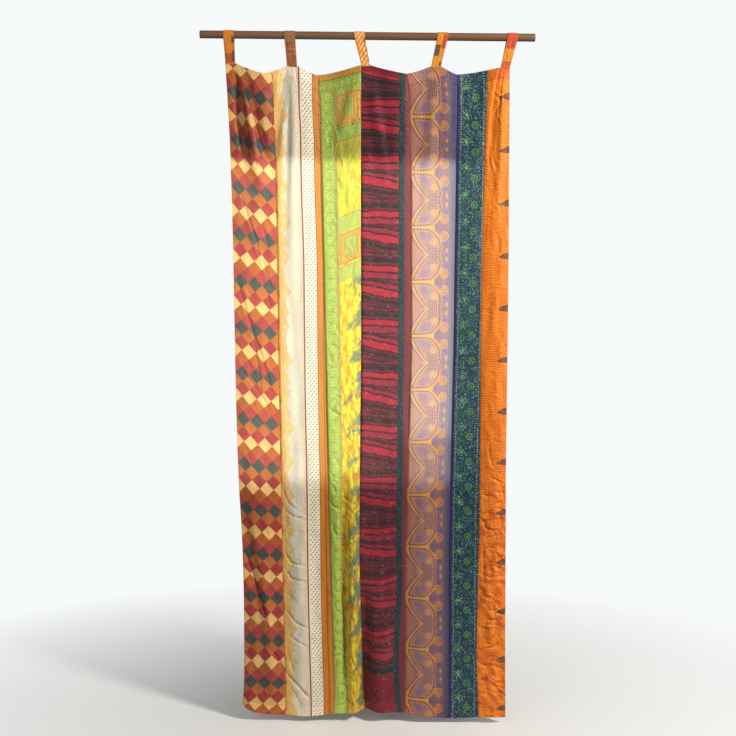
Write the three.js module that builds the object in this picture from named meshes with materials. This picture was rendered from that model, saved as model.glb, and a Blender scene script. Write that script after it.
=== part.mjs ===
// Patchwork curtain of seven sewn strips, hung by five tabs from a round wooden rod.
// Millimetres, +Z up. The origin is on the rod's axis at the middle of its length, +X runs to the
// right as the curtain is seen from its front, and the front faces -Y. Heights are given as drops
// below the rod's axis, because that is how a curtain is measured.

import * as THREE from 'three';

// Driving sizes
const ROD = { length: 1200, radius: 14, sides: 48 };
const CLOTH = { thick: 1.2, hemThick: 2.4, headingDepth: 40, footHemDepth: 38, foldOver: 3 };
const PIECE_GAP = 0.3;
const GRID = { leastColumn: 9, widestColumn: 32, shortestRow: 34, longestRow: 92, tightShare: 0.33 };
const TAB = { thick: 1.6, tail: 9, rodWidth: 38, arcSteps: 18 };

// The edges of the strips, left edge, six seams and right edge: where each runs at a drop
const EDGES = [
  { drop: 100, left: -510, s1: -345, s2: -181, s3: -22, s4: 139, s5: 323, s6: 434, right: 512 },
  { drop: 225, left: -502, s1: -338, s2: -172, s3: -21, s4: 152, s5: 326, s6: 432, right: 514 },
  { drop: 400, left: -493, s1: -331, s2: -167, s3: -20, s4: 157, s5: 326, s6: 428, right: 517 },
  { drop: 800, left: -482, s1: -323, s2: -156, s3: -16, s4: 163, s5: 327, s6: 425, right: 523 },
  { drop: 1110, left: -477, s1: -319, s2: -147, s3: -13, s4: 167, s5: 328, s6: 427, right: 526 },
  { drop: 1540, left: -467, s1: -310, s2: -135, s3: -13, s4: 162, s5: 326, s6: 434, right: 530 },
  { drop: 1920, left: -449, s1: -302, s2: -123, s3: -11, s4: 161, s5: 326, s6: 436, right: 537 },
  { drop: 2270, left: -445, s1: -293, s2: -110, s3: 1, s4: 165, s5: 331, s6: 435, right: 544 },
  { drop: 2430, left: -448, s1: -289, s2: -105, s3: 10, s4: 167, s5: 333, s6: 443, right: 548 },
  { drop: 2530, left: -462, s1: -288, s2: -108, s3: 17, s4: 168, s5: 335, s6: 449, right: 551 },
];

// The strips of cloth, with the colour that each shows at a distance
const STRIPS = [
  { name: 'strip_diamond', from: 'left', to: 's1', color: 0xa5502e, roughness: 0.6 },
  { name: 'strip_cream', from: 's1', to: 's2', color: 0xe2cfa6, roughness: 0.6 },
  { name: 'strip_yellow', from: 's2', to: 's3', color: 0xbdb43c, roughness: 0.55 },
  { name: 'strip_stripe', from: 's3', to: 's4', color: 0x6d2530, roughness: 0.5 },
  { name: 'strip_leaf', from: 's4', to: 's5', color: 0x9a7174, roughness: 0.6 },
  { name: 'strip_sprig', from: 's5', to: 's6', color: 0x23414a, roughness: 0.6 },
  { name: 'strip_orange', from: 's6', to: 'right', color: 0xe0802a, roughness: 0.5 },
];

// The tabs: centre at the rod, centre and width at the heading, and the drop of the heading there
const TABS = [
  { name: 'tab_1', rodX: -497, footX: -491.5, footWidth: 35, drop: 99, color: 0xd07a24 },
  { name: 'tab_2', rodX: -279, footX: -270, footWidth: 36, drop: 106, color: 0x9a4f28 },
  { name: 'tab_3', rodX: -29, footX: -6, footWidth: 31, drop: 101, color: 0xd98a26 },
  { name: 'tab_4', rodX: 269, footX: 247, footWidth: 35, drop: 103, color: 0xd07a24 },
  { name: 'tab_5', rodX: 519, footX: 495.5, footWidth: 33, drop: 105, color: 0xcf6a22 },
];

// Between two tabs the heading sags: where and how low, and how far it bellies out to the front
const SAGS = [
  { lowX: -372, lowDrop: 137, out: 20 },
  { lowX: -182, lowDrop: 137, out: -15 },
  { lowX: 138, lowDrop: 133, out: 19 },
  { lowX: 323, lowDrop: 130, out: -14 },
];
const SAG_ROUNDNESS = 1.3;
const BELLY_LENGTH = 520;

// The hem's true drop at places across the foot
const HEM = [
  { x: -465, drop: 2492 }, { x: -404, drop: 2518 }, { x: -291, drop: 2526 }, { x: -187, drop: 2530 },
  { x: -109, drop: 2520 }, { x: -61, drop: 2519 }, { x: 17, drop: 2511 }, { x: 60, drop: 2510 },
  { x: 168, drop: 2514 }, { x: 230, drop: 2526 }, { x: 335, drop: 2534 }, { x: 449, drop: 2528 },
  { x: 553, drop: 2527 },
];

// The main folds: a line from its top (x1, drop1) to its foot (x2, drop2), the half width of the
// fold across that line, and how far it stands out to the front (a valley is negative)
const FOLDS = [
  { x1: -478, drop1: 110, x2: -424, drop2: 560, half: 26, out: -12 },
  { x1: -455, drop1: 112, x2: -368, drop2: 620, half: 30, out: 14 },
  { x1: -442, drop1: 118, x2: -330, drop2: 560, half: 26, out: -9 },
  { x1: -290, drop1: 112, x2: -352, drop2: 520, half: 26, out: -10 },
  { x1: -280, drop1: 110, x2: -300, drop2: 900, half: 22, out: -10 },
  { x1: -264, drop1: 112, x2: -262, drop2: 860, half: 24, out: 10 },
  { x1: -20, drop1: 112, x2: -120, drop2: 420, half: 34, out: 9 },
  { x1: 6, drop1: 112, x2: 70, drop2: 520, half: 34, out: 8 },
  { x1: 240, drop1: 112, x2: 214, drop2: 760, half: 34, out: 8 },
  { x1: 474, drop1: 108, x2: 444, drop2: 460, half: 17, out: -8 },
  { x1: 494, drop1: 112, x2: 480, drop2: 620, half: 20, out: 8 },
  { x1: -430, drop1: 420, x2: -395, drop2: 2300, half: 110, out: 14 },
  { x1: -290, drop1: 500, x2: -262, drop2: 2200, half: 100, out: -12 },
  { x1: -40, drop1: 380, x2: 30, drop2: 2000, half: 120, out: -13 },
  { x1: 140, drop1: 300, x2: 190, drop2: 2100, half: 110, out: 15 },
  { x1: 330, drop1: 350, x2: 345, drop2: 2400, half: 110, out: -12 },
  { x1: 500, drop1: 500, x2: 505, drop2: 2700, half: 90, out: 12 },
  { x1: -450, drop1: 1700, x2: -355, drop2: 2300, half: 34, out: -11 },
  { x1: -395, drop1: 1850, x2: -320, drop2: 2540, half: 42, out: 10 },
  { x1: -250, drop1: 1500, x2: -205, drop2: 2620, half: 62, out: 13 },
  { x1: -112, drop1: 1000, x2: -94, drop2: 2620, half: 46, out: 12 },
  { x1: -72, drop1: 1500, x2: -60, drop2: 2560, half: 26, out: -22 },
  { x1: -44, drop1: 1650, x2: -22, drop2: 2640, half: 34, out: 15 },
  { x1: 4, drop1: 1950, x2: 22, drop2: 2800, half: 44, out: -34 },
  { x1: 70, drop1: 2050, x2: 82, drop2: 2760, half: 60, out: 14 },
  { x1: 225, drop1: 1500, x2: 240, drop2: 2700, half: 72, out: 9 },
  { x1: -480, drop1: 2180, x2: -462, drop2: 2840, half: 46, out: -20 },
];

// Each strip stands out a little between its two seams
const BILLOW = { least: 2.5, most: 5, wave: 640 };

// A smooth line through the rows of a table, read at s: cubic pieces whose slope at each row is
// that of the straight line between its two neighbours
function smoothAt(rows, sKey, valueKey, s) {
  const last = rows.length - 1;
  const at = THREE.MathUtils.clamp(s, rows[0][sKey], rows[last][sKey]);
  let i = 0;
  while (i < last - 1 && at > rows[i + 1][sKey]) i += 1;
  const slopeAt = (k) => {
    const before = rows[Math.max(k - 1, 0)];
    const after = rows[Math.min(k + 1, last)];
    return (after[valueKey] - before[valueKey]) / (after[sKey] - before[sKey]);
  };
  const span = rows[i + 1][sKey] - rows[i][sKey];
  const t = (at - rows[i][sKey]) / span;
  const rise = t * t * (3 - 2 * t);
  return (1 - rise) * rows[i][valueKey] + rise * rows[i + 1][valueKey]
    + span * t * (1 - t) * ((1 - t) * slopeAt(i) - t * slopeAt(i + 1));
}

const edgeX = (edge, drop) => smoothAt(EDGES, 'drop', edge, drop);
const tabLeft = (tab) => tab.footX - tab.footWidth / 2;
const tabRight = (tab) => tab.footX + tab.footWidth / 2;

// The span of heading that holds x: its two ends at the tabs and its sag, or null on a tab's foot
function spanAt(x) {
  for (let i = 0; i < SAGS.length; i += 1) {
    const from = { x: tabRight(TABS[i]), drop: TABS[i].drop };
    const to = { x: tabLeft(TABS[i + 1]), drop: TABS[i + 1].drop };
    if (x > from.x && x < to.x) return { from, to, ...SAGS[i] };
  }
  return null;
}

const nearestTab = (x) => TABS.reduce(
  (near, tab) => (Math.abs(tab.footX - x) < Math.abs(near.footX - x) ? tab : near),
);

// The heading's top edge: level on a tab, and a rounded V between two tabs
function topDrop(x) {
  const span = spanAt(x);
  if (!span) return nearestTab(x).drop;
  const end = x < span.lowX ? span.from : span.to;
  const away = Math.abs((x - span.lowX) / (end.x - span.lowX));
  return span.lowDrop - (span.lowDrop - end.drop) * away ** SAG_ROUNDNESS;
}

// How far the heading's belly between two tabs stands out, fading down the curtain
function bellyOut(x, drop) {
  const span = spanAt(x);
  if (!span) return 0;
  const across = Math.sin(Math.PI * (x - span.from.x) / (span.to.x - span.from.x));
  return span.out * across ** 2 * Math.exp(-(((drop - span.lowDrop) / BELLY_LENGTH) ** 2));
}

// One fold: a raised cosine across its line, growing from nothing at one end to the full depth at
// the middle and back to nothing at the other end
function foldOut(fold, x, drop) {
  const along = (drop - fold.drop1) / (fold.drop2 - fold.drop1);
  if (along <= 0 || along >= 1) return 0;
  const across = (x - THREE.MathUtils.lerp(fold.x1, fold.x2, along)) / fold.half;
  if (Math.abs(across) >= 1) return 0;
  return fold.out * Math.sin(Math.PI * along) * (1 + Math.cos(Math.PI * across)) / 2;
}

// How far the cloth stands out to the front at a place, with u running 0 to 1 across its strip
function clothOut(x, drop, u) {
  const swell = (1 + Math.sin((drop + x) / BILLOW.wave)) / 2;
  const fullness = THREE.MathUtils.lerp(BILLOW.least, BILLOW.most, swell);
  const below = THREE.MathUtils.clamp((drop - topDrop(x)) / CLOTH.headingDepth, 0, 1);
  const folds = FOLDS.reduce((sum, fold) => sum + foldOut(fold, x, drop), 0);
  return bellyOut(x, drop) + below * (folds + fullness * Math.sin(Math.PI * u));
}

// Places across a strip, as fractions of its width: cells no wider than the widest column, with a
// column line at each tab's corner, so that the heading is level under the tab
function columnsOf(strip) {
  const x0 = edgeX(strip.from, EDGES[0].drop);
  const x1 = edgeX(strip.to, EDGES[0].drop);
  const corners = TABS.flatMap((tab) => [tabLeft(tab), tabRight(tab)]);
  const stops = [x0, ...corners.filter((x) => x > x0 + GRID.leastColumn && x < x1 - GRID.leastColumn), x1];
  const columns = [0];
  for (let i = 1; i < stops.length; i += 1) {
    const cells = Math.ceil((stops[i] - stops[i - 1]) / GRID.widestColumn);
    for (let k = 1; k <= cells; k += 1) {
      const x = THREE.MathUtils.lerp(stops[i - 1], stops[i], k / cells);
      columns.push((x - x0) / (x1 - x0));
    }
  }
  return columns;
}

// Rows down a strip: the heading, its stitch line, rows that are short at both ends and long in
// the middle, and the foot hem. Each row is a depth under the top edge and a height over the hem.
function rowsOf() {
  const clothLength = HEM[0].drop - TABS[0].drop;
  const rows = [];
  let depth = CLOTH.headingDepth + CLOTH.foldOver;
  const lastDepth = clothLength - CLOTH.footHemDepth - CLOTH.foldOver;
  rows.push(0, CLOTH.headingDepth, depth);
  while (depth < lastDepth) {
    const nearEnd = Math.min(depth, lastDepth - depth) / (clothLength * GRID.tightShare);
    depth += THREE.MathUtils.lerp(GRID.shortestRow, GRID.longestRow, Math.min(1, nearEnd));
    rows.push(Math.min(depth, lastDepth));
  }
  rows.push(clothLength - CLOTH.footHemDepth, clothLength);
  return rows.map((value) => ({
    share: value / clothLength,
    hemmed: value <= CLOTH.headingDepth || value >= clothLength - CLOTH.footHemDepth,
  }));
}

// A closed sheet from a grid of front points and a grid of back points: two faces and four rims
function sheetGeometry(front, back) {
  const rowCount = front.length;
  const columnCount = front[0].length;
  const positions = [...front.flat(), ...back.flat()].flatMap((p) => [p.x, p.y, p.z]);
  const frontAt = (row, column) => row * columnCount + column;
  const backAt = (row, column) => frontAt(row, column) + rowCount * columnCount;
  const indices = [];
  const quad = (a, b, c, d) => indices.push(a, b, c, a, c, d);
  for (let r = 0; r + 1 < rowCount; r += 1) {
    for (let c = 0; c + 1 < columnCount; c += 1) {
      quad(frontAt(r, c), frontAt(r + 1, c), frontAt(r + 1, c + 1), frontAt(r, c + 1));
      quad(backAt(r, c), backAt(r, c + 1), backAt(r + 1, c + 1), backAt(r + 1, c));
    }
    quad(frontAt(r, 0), backAt(r, 0), backAt(r + 1, 0), frontAt(r + 1, 0));
    const end = columnCount - 1;
    quad(frontAt(r, end), frontAt(r + 1, end), backAt(r + 1, end), backAt(r, end));
  }
  for (let c = 0; c + 1 < columnCount; c += 1) {
    const foot = rowCount - 1;
    quad(frontAt(0, c), frontAt(0, c + 1), backAt(0, c + 1), backAt(0, c));
    quad(frontAt(foot, c), backAt(foot, c), backAt(foot, c + 1), frontAt(foot, c + 1));
  }
  const geometry = new THREE.BufferGeometry();
  geometry.setAttribute('position', new THREE.Float32BufferAttribute(positions, 3));
  geometry.setIndex(indices);
  geometry.computeVertexNormals();
  return geometry;
}

// A strip: between its two sewn edges, from the heading to the hem. Heading and hem are turned to
// the back, so only the back face steps out there.
function stripGeometry(strip) {
  const columns = columnsOf(strip);
  const front = [];
  const back = [];
  for (const row of rowsOf()) {
    const thick = row.hemmed ? CLOTH.hemThick : CLOTH.thick;
    const frontRow = [];
    const backRow = [];
    for (const u of columns) {
      const headX = THREE.MathUtils.lerp(edgeX(strip.from, 0), edgeX(strip.to, 0), u);
      const footX = THREE.MathUtils.lerp(edgeX(strip.from, Infinity), edgeX(strip.to, Infinity), u);
      const drop = THREE.MathUtils.lerp(topDrop(headX), smoothAt(HEM, 'x', 'drop', footX), row.share);
      const x0 = edgeX(strip.from, drop) + PIECE_GAP / 2;
      const x1 = edgeX(strip.to, drop) - PIECE_GAP / 2;
      const x = THREE.MathUtils.lerp(x0, x1, u);
      const y = -clothOut(x, drop, u) - CLOTH.thick / 2;
      frontRow.push(new THREE.Vector3(x, y, -drop));
      backRow.push(new THREE.Vector3(x, y + thick, -drop));
    }
    front.push(frontRow);
    back.push(backRow);
  }
  return sheetGeometry(front, back);
}

// The outline of a band that hangs over a circle and closes at its foot: an arc over the top and
// two straight runs down to half the foot's thickness. It is drawn in (across, height).
function loopOutline(radius, footHalf, footDrop, steps) {
  const slope = Math.asin((radius - footHalf) / footDrop);
  const points = [];
  for (let i = 0; i <= steps; i += 1) {
    const angle = THREE.MathUtils.lerp(-slope, Math.PI + slope, i / steps);
    points.push(new THREE.Vector2(radius * Math.cos(angle), radius * Math.sin(angle)));
  }
  points.push(new THREE.Vector2(-footHalf, -footDrop));
  if (footHalf > 0) points.push(new THREE.Vector2(footHalf, -footDrop));
  return points;
}

// A tab: one band of cloth over the rod, its two ends sewn together in a short tail on the
// heading. It is drawn across the rod, drawn out along it, and then leans to its place below.
function tabGeometry(tab) {
  const inner = ROD.radius + PIECE_GAP;
  const foot = tab.drop - PIECE_GAP;
  const outline = new THREE.Shape(loopOutline(inner + TAB.thick, TAB.thick, foot, TAB.arcSteps));
  outline.holes.push(new THREE.Path(loopOutline(inner, 0, foot - TAB.tail, TAB.arcSteps)));
  const geometry = new THREE.ExtrudeGeometry(outline, { depth: 1, steps: 1, bevelEnabled: false });
  const drawn = geometry.attributes.position;
  for (let i = 0; i < drawn.count; i += 1) {
    const side = drawn.getZ(i) - 0.5;
    const across = drawn.getX(i);
    const height = drawn.getY(i);
    const down = THREE.MathUtils.clamp(-height / foot, 0, 1);
    const centre = THREE.MathUtils.lerp(tab.rodX, tab.footX, down);
    const width = THREE.MathUtils.lerp(TAB.rodWidth, tab.footWidth, down);
    drawn.setXYZ(i, centre + side * width, across, height);
  }
  geometry.computeVertexNormals();
  return geometry;
}

// The rod: a plain round pole, cut square at both ends
function rodGeometry() {
  const geometry = new THREE.CylinderGeometry(ROD.radius, ROD.radius, ROD.length, ROD.sides);
  geometry.rotateZ(Math.PI / 2);
  return geometry;
}

function addPiece(group, name, geometry, look) {
  const piece = new THREE.Mesh(geometry, new THREE.MeshStandardMaterial({ metalness: 0, ...look }));
  piece.name = name;
  group.add(piece);
}

const curtain = new THREE.Group();
addPiece(curtain, 'rod', rodGeometry(), { color: 0x7a5236, roughness: 0.5 });
for (const strip of STRIPS) {
  addPiece(curtain, strip.name, stripGeometry(strip), { color: strip.color, roughness: strip.roughness });
}
for (const tab of TABS) {
  addPiece(curtain, tab.name, tabGeometry(tab), { color: tab.color, roughness: 0.6 });
}

export default curtain;
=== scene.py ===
"""Patchwork curtain of seven sewn strips of printed cloth, hung by five tabs from a round wooden rod.

Metres, +Z up, front towards -Y. The origin is on the rod's axis at the middle of its length.
Cloth tables are in millimetres: x across, and the drop below the rod's axis, as a curtain is measured.
"""

import math
from collections import namedtuple

import bpy
import numpy as np
from mathutils import Matrix, Vector


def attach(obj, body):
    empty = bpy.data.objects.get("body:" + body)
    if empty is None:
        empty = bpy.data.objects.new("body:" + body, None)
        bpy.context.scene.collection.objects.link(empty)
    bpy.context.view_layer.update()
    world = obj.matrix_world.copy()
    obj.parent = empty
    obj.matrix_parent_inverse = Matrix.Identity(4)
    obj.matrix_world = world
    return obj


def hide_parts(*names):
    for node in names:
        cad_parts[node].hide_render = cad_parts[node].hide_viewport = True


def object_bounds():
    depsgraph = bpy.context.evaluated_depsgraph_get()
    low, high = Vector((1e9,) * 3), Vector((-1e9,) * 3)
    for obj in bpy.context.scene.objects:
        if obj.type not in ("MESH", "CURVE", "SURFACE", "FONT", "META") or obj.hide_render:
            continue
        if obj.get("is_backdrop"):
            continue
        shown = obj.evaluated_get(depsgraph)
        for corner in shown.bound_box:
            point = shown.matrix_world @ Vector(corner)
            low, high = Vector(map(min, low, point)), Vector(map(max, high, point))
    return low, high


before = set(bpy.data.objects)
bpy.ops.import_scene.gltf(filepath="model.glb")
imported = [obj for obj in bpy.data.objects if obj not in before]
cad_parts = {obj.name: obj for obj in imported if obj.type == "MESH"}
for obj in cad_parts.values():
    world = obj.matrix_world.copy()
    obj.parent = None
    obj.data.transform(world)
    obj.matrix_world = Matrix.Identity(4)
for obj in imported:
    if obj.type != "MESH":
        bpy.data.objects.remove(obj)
cad_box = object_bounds()

MM = 0.001
scene = bpy.context.scene


def new_object(name, data):
    """A new object, put into the scene."""
    piece = bpy.data.objects.new(name, data)
    scene.collection.objects.link(piece)
    return piece


# Camera: its place in metres, and its lens and sensor in millimetres
CAMERA_PLACE = (0.0136, -4.0523, -0.7763)
CAMERA_DOWN = math.radians(5.89)
CAMERA_ROLL = math.radians(0.57)
LENS, SENSOR = 54.0, 36.0

camera_data = bpy.data.cameras.new("camera")
camera_data.lens = LENS
camera_data.sensor_width = SENSOR
camera = new_object("camera", camera_data)
camera.matrix_world = (
    Matrix.Translation(CAMERA_PLACE)
    @ Matrix.Rotation(math.radians(90) - CAMERA_DOWN, 4, "X")
    @ Matrix.Rotation(CAMERA_ROLL, 4, "Z")
)
scene.camera = camera

# Sizes, the same as the frame's
ROD_LENGTH = 1200.0
ROD_RADIUS = 14.0
CLOTH_THICK = 1.2
HEM_THICK = 2.4
HEADING_DEPTH = 40.0
FOOT_HEM_DEPTH = 38.0
SIDE_HEM = 11.0
PIECE_GAP = 0.3
TAB_THICK = 1.6
TAB_TAIL = 9.0
TAB_ROD_WIDTH = 38.0

# Where the two edges and the six seams run: drop, left edge, seams, right edge
EDGES = np.array([
    (100, -510, -345, -181, -22, 139, 323, 434, 512),
    (225, -502, -338, -172, -21, 152, 326, 432, 514),
    (400, -493, -331, -167, -20, 157, 326, 428, 517),
    (800, -482, -323, -156, -16, 163, 327, 425, 523),
    (1110, -477, -319, -147, -13, 167, 328, 427, 526),
    (1540, -467, -310, -135, -13, 162, 326, 434, 530),
    (1920, -449, -302, -123, -11, 161, 326, 436, 537),
    (2270, -445, -293, -110, 1, 165, 331, 435, 544),
    (2430, -448, -289, -105, 10, 167, 333, 443, 548),
    (2530, -462, -288, -108, 17, 168, 335, 449, 551),
], float)

# Tabs: name, centre at the rod, centre and width at the heading, drop of the heading there
TABS = [
    ("tab_1", -497, -491.5, 35, 99),
    ("tab_2", -279, -270, 36, 106),
    ("tab_3", -29, -6, 31, 101),
    ("tab_4", 269, 247, 35, 103),
    ("tab_5", 519, 495.5, 33, 105),
]

# Between two tabs the heading sags: where and how low, and how far it bellies out to the front
SAGS = [(-372, 137, 20), (-182, 137, -15), (138, 133, 19), (323, 130, -14)]
SAG_ROUNDNESS = 1.3
BELLY_LENGTH = 520.0

# The hem's drop at places across the foot
HEM = np.array([
    (-465, 2492), (-404, 2518), (-291, 2526), (-187, 2530), (-109, 2520), (-61, 2519), (17, 2511),
    (60, 2510), (168, 2514), (230, 2526), (335, 2534), (449, 2528), (553, 2527),
], float)

# The main folds: top x and drop, foot x and drop, half width, how far out to the front
FOLDS = [
    (-478, 110, -424, 560, 26, -12),
    (-455, 112, -368, 620, 30, 14),
    (-442, 118, -330, 560, 26, -9),
    (-290, 112, -352, 520, 26, -10),
    (-280, 110, -300, 900, 22, -6),
    (-264, 112, -262, 860, 24, 6),
    (-20, 112, -120, 420, 34, 9),
    (6, 112, 70, 520, 34, 8),
    (240, 112, 214, 760, 34, 8),
    (474, 108, 444, 460, 17, -8),
    (494, 112, 480, 620, 20, 8),
    (-430, 420, -395, 2300, 110, 14),
    (-290, 500, -262, 2200, 100, -12),
    (-40, 380, 30, 2000, 120, -13),
    (140, 300, 190, 2100, 110, 15),
    (330, 350, 345, 2400, 110, -12),
    (500, 500, 505, 2700, 90, 12),
    (-450, 1700, -355, 2300, 34, -11),
    (-395, 1850, -320, 2540, 42, 10),
    (-250, 1500, -205, 2620, 62, 13),
    (-112, 1000, -94, 2620, 46, 12),
    (-72, 1500, -60, 2560, 26, -22),
    (-44, 1650, -22, 2640, 34, 15),
    (4, 1950, 22, 2800, 44, -34),
    (70, 2050, 82, 2760, 60, 14),
    (225, 1500, 240, 2700, 72, 9),
    (-480, 2180, -462, 2840, 46, -20),
]
BILLOW_LEAST, BILLOW_MOST, BILLOW_WAVE = 2.5, 5.0, 640.0

# The creases on top of the folds: half width, how far out, and the x and drop of points along each
CREASES = [
    (11, -5.5, [(-477, 121), (-464, 174), (-455, 230), (-440, 311), (-419, 385), (-396, 462), (-386, 487)]),
    (10, -5.0, [(-442, 190), (-423, 246), (-394, 335), (-376, 405), (-357, 423)]),
    (11, -4.6, [(-473, 844), (-438, 974), (-407, 1063), (-376, 1160), (-345, 1260), (-329, 1354)]),
    (9, -3.6, [(-432, 998), (-400, 1110), (-386, 1216), (-380, 1290)]),
    (10, -3.4, [(-470, 1190), (-420, 1240), (-360, 1330), (-335, 1400)]),
    (10, -3.8, [(-455, 560), (-430, 640), (-400, 720), (-385, 790)]),
    (11, -5.5, [(-450, 1865), (-429, 1922), (-403, 1993), (-386, 2055), (-365, 2130), (-352, 2197)]),
    (10, -4.0, [(-351, 2260), (-325, 2291), (-289, 2358)]),
    (5, -2.0, [(-443, 2389), (-369, 2393), (-290, 2406)]),
    (7, -2.6, [(-289, 120), (-303, 172), (-315, 229), (-330, 294)]),
    (6, -1.2, [(-275, 109), (-279, 172), (-280, 253), (-286, 334), (-290, 412)]),
    (6, -2.5, [(-260, 107), (-254, 139), (-250, 180)]),
    (5, -2.0, [(-294, 136), (-312, 164), (-336, 194)]),
    (6, -3.0, [(-303, 1651), (-279, 1703), (-244, 1734)]),
    (6, -3.5, [(-299, 1728), (-262, 1754), (-209, 1766)]),
    (7, -4.0, [(-294, 1890), (-270, 1930), (-207, 1944)]),
    (7, -4.0, [(-291, 1956), (-265, 1992), (-201, 2006)]),
    (5, -2.0, [(-289, 2053), (-265, 2063), (-243, 2085)]),
    (7, -4.0, [(-287, 2114), (-252, 2160), (-197, 2184)]),
    (7, -3.0, [(-278, 2214), (-238, 2236), (-197, 2261)]),
    (6, -2.5, [(-286, 2259), (-271, 2318), (-251, 2367)]),
    (9, -5.0, [(-288, 2361), (-247, 2399), (-189, 2468)]),
    (6, -2.0, [(-284, 2399), (-251, 2439), (-229, 2489)]),
    (4, -1.5, [(-281, 2446), (-251, 2458)]),
    (4, -1.5, [(-144, 2112), (-123, 2089)]),
    (4, -1.5, [(-142, 2211), (-122, 2185)]),
    (4, -1.8, [(-140, 2350), (-119, 2329)]),
    (4, -1.5, [(-138, 2440), (-116, 2420)]),
    (5, -2.0, [(-27, 377), (-45, 410), (-62, 449)]),
    (5, -3.0, [(-26, 534), (-42, 592), (-56, 646), (-72, 679)]),
    (5, -3.0, [(-35, 708), (-43, 800), (-49, 858), (-53, 904)]),
    (10, -6.0, [(-79, 1592), (-75, 1688), (-77, 1802), (-82, 1932), (-84, 2021), (-70, 2110),
                (-63, 2199), (-64, 2334), (-71, 2424), (-76, 2487)]),
    (5, -2.0, [(-120, 2289), (-95, 2291), (-71, 2285)]),
    (5, -2.0, [(-117, 2237), (-103, 2262), (-77, 2271)]),
    (9, -4.0, [(-7, 2277), (-25, 2333), (-41, 2378), (-50, 2433)]),
    (7, -3.0, [(-27, 2029), (-39, 2091), (-48, 2154), (-47, 2221)]),
    (15, -5.0, [(19, 2376), (43, 2427), (68, 2479)]),
    (15, -4.5, [(132, 2379), (109, 2431), (83, 2481)]),
    (10, -3.0, [(273, 863), (269, 964), (268, 1159), (268, 1198)]),
    (8, -2.5, [(262, 305), (262, 370), (262, 427)]),
    (7, -3.5, [(476, 112), (464, 165), (457, 221), (452, 282), (450, 348)]),
    (7, -2.5, [(488, 120), (481, 181), (476, 262), (471, 315)]),
    (9, -3.0, [(452, 1847), (456, 1944), (461, 2028)]),
    (4, -2.0, [(525, 2141), (519, 2184), (517, 2213)]),
    (7, -3.0, [(534, 2220), (494, 2249), (441, 2277)]),
    (6, -2.5, [(499, 2305), (469, 2328), (444, 2351)]),
    (5, -2.0, [(543, 2450), (516, 2472), (507, 2493)]),
    (5, -2.0, [(488, 2364), (466, 2378), (444, 2387)]),
]

# The strips, left to right. steps are the grid's, across and down. fall is how much lower the print
# lies at the right seam than at the left one, by drop. gather is the depth of the small ripples along
# the seams. crinkles are layers of sharp ridges: least and most wave across, least and most wave down,
# depth, and the drop where they start and end.
STRIPS = [
    dict(name="strip_diamond", flat=0.172, steps=(3.5, 5.0), gather=0.35,
         fall=[(100, 34), (300, 40), (460, 38), (965, 32), (1480, 30), (1650, 24), (2310, 8), (2490, 0)],
         crinkles=[(60, 140, 90, 260, 1.6, 0, 2700), (24, 60, 50, 140, 0.35, 0, 2700)]),
    dict(name="strip_cream", flat=0.188, steps=(4.4, 5.0), gather=0.60,
         fall=[(100, 0), (2500, 0)],
         crinkles=[(50, 120, 60, 190, 2.0, 1450, 2700), (22, 44, 60, 160, 0.6, 0, 2700)]),
    dict(name="strip_yellow", flat=0.165, steps=(3.8, 4.6), gather=0.80,
         fall=[(100, -36), (240, -45), (350, -45), (700, -60), (1450, -40), (2500, 0)],
         crinkles=[(24, 52, 60, 180, 2.4, 850, 2700), (30, 70, 80, 240, 1.8, 250, 1000),
                   (40, 120, 20, 46, 1.6, 900, 2700), (14, 24, 25, 60, 1.1, 100, 2700)]),
    dict(name="strip_stripe", flat=0.180, steps=(5.0, 3.8), gather=0.50,
         fall=[(100, 30), (150, 12), (205, 0), (1500, 0), (1900, -14), (2300, -10), (2500, 0)],
         crinkles=[(60, 240, 15, 32, 0.9, 130, 2700), (30, 70, 50, 160, 1.1, 300, 2700)]),
    dict(name="strip_leaf", flat=0.178, steps=(4.2, 6.0), gather=0.40,
         fall=[(100, 0), (1900, 0), (2500, 12)],
         crinkles=[(30, 70, 150, 400, 1.0, 150, 2700)]),
    dict(name="strip_sprig", flat=0.113, steps=(4.2, 5.5), gather=0.45,
         fall=[(100, -12), (400, 0), (2500, 0)],
         crinkles=[(30, 60, 60, 150, 0.9, 0, 2700)]),
    dict(name="strip_orange", flat=0.108, steps=(3.4, 3.4), gather=0.70,
         fall=[(100, -10), (300, -6), (2500, -4)],
         crinkles=[(14, 24, 80, 220, 1.1, 60, 800), (50, 150, 11, 24, 0.6, 120, 2700),
                   (35, 90, 30, 75, 2.6, 1650, 2700), (40, 90, 120, 400, 1.6, 500, 2700),
                   (14, 22, 90, 220, 1.0, 1500, 2400)]),
]
# How much deeper every crease is made, the share of its length over which an end fades, and how much
# is left at the very end
CREASE_GAIN, CREASE_FADE, CREASE_LEFT = 2.0, 0.3, 0.15

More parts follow.
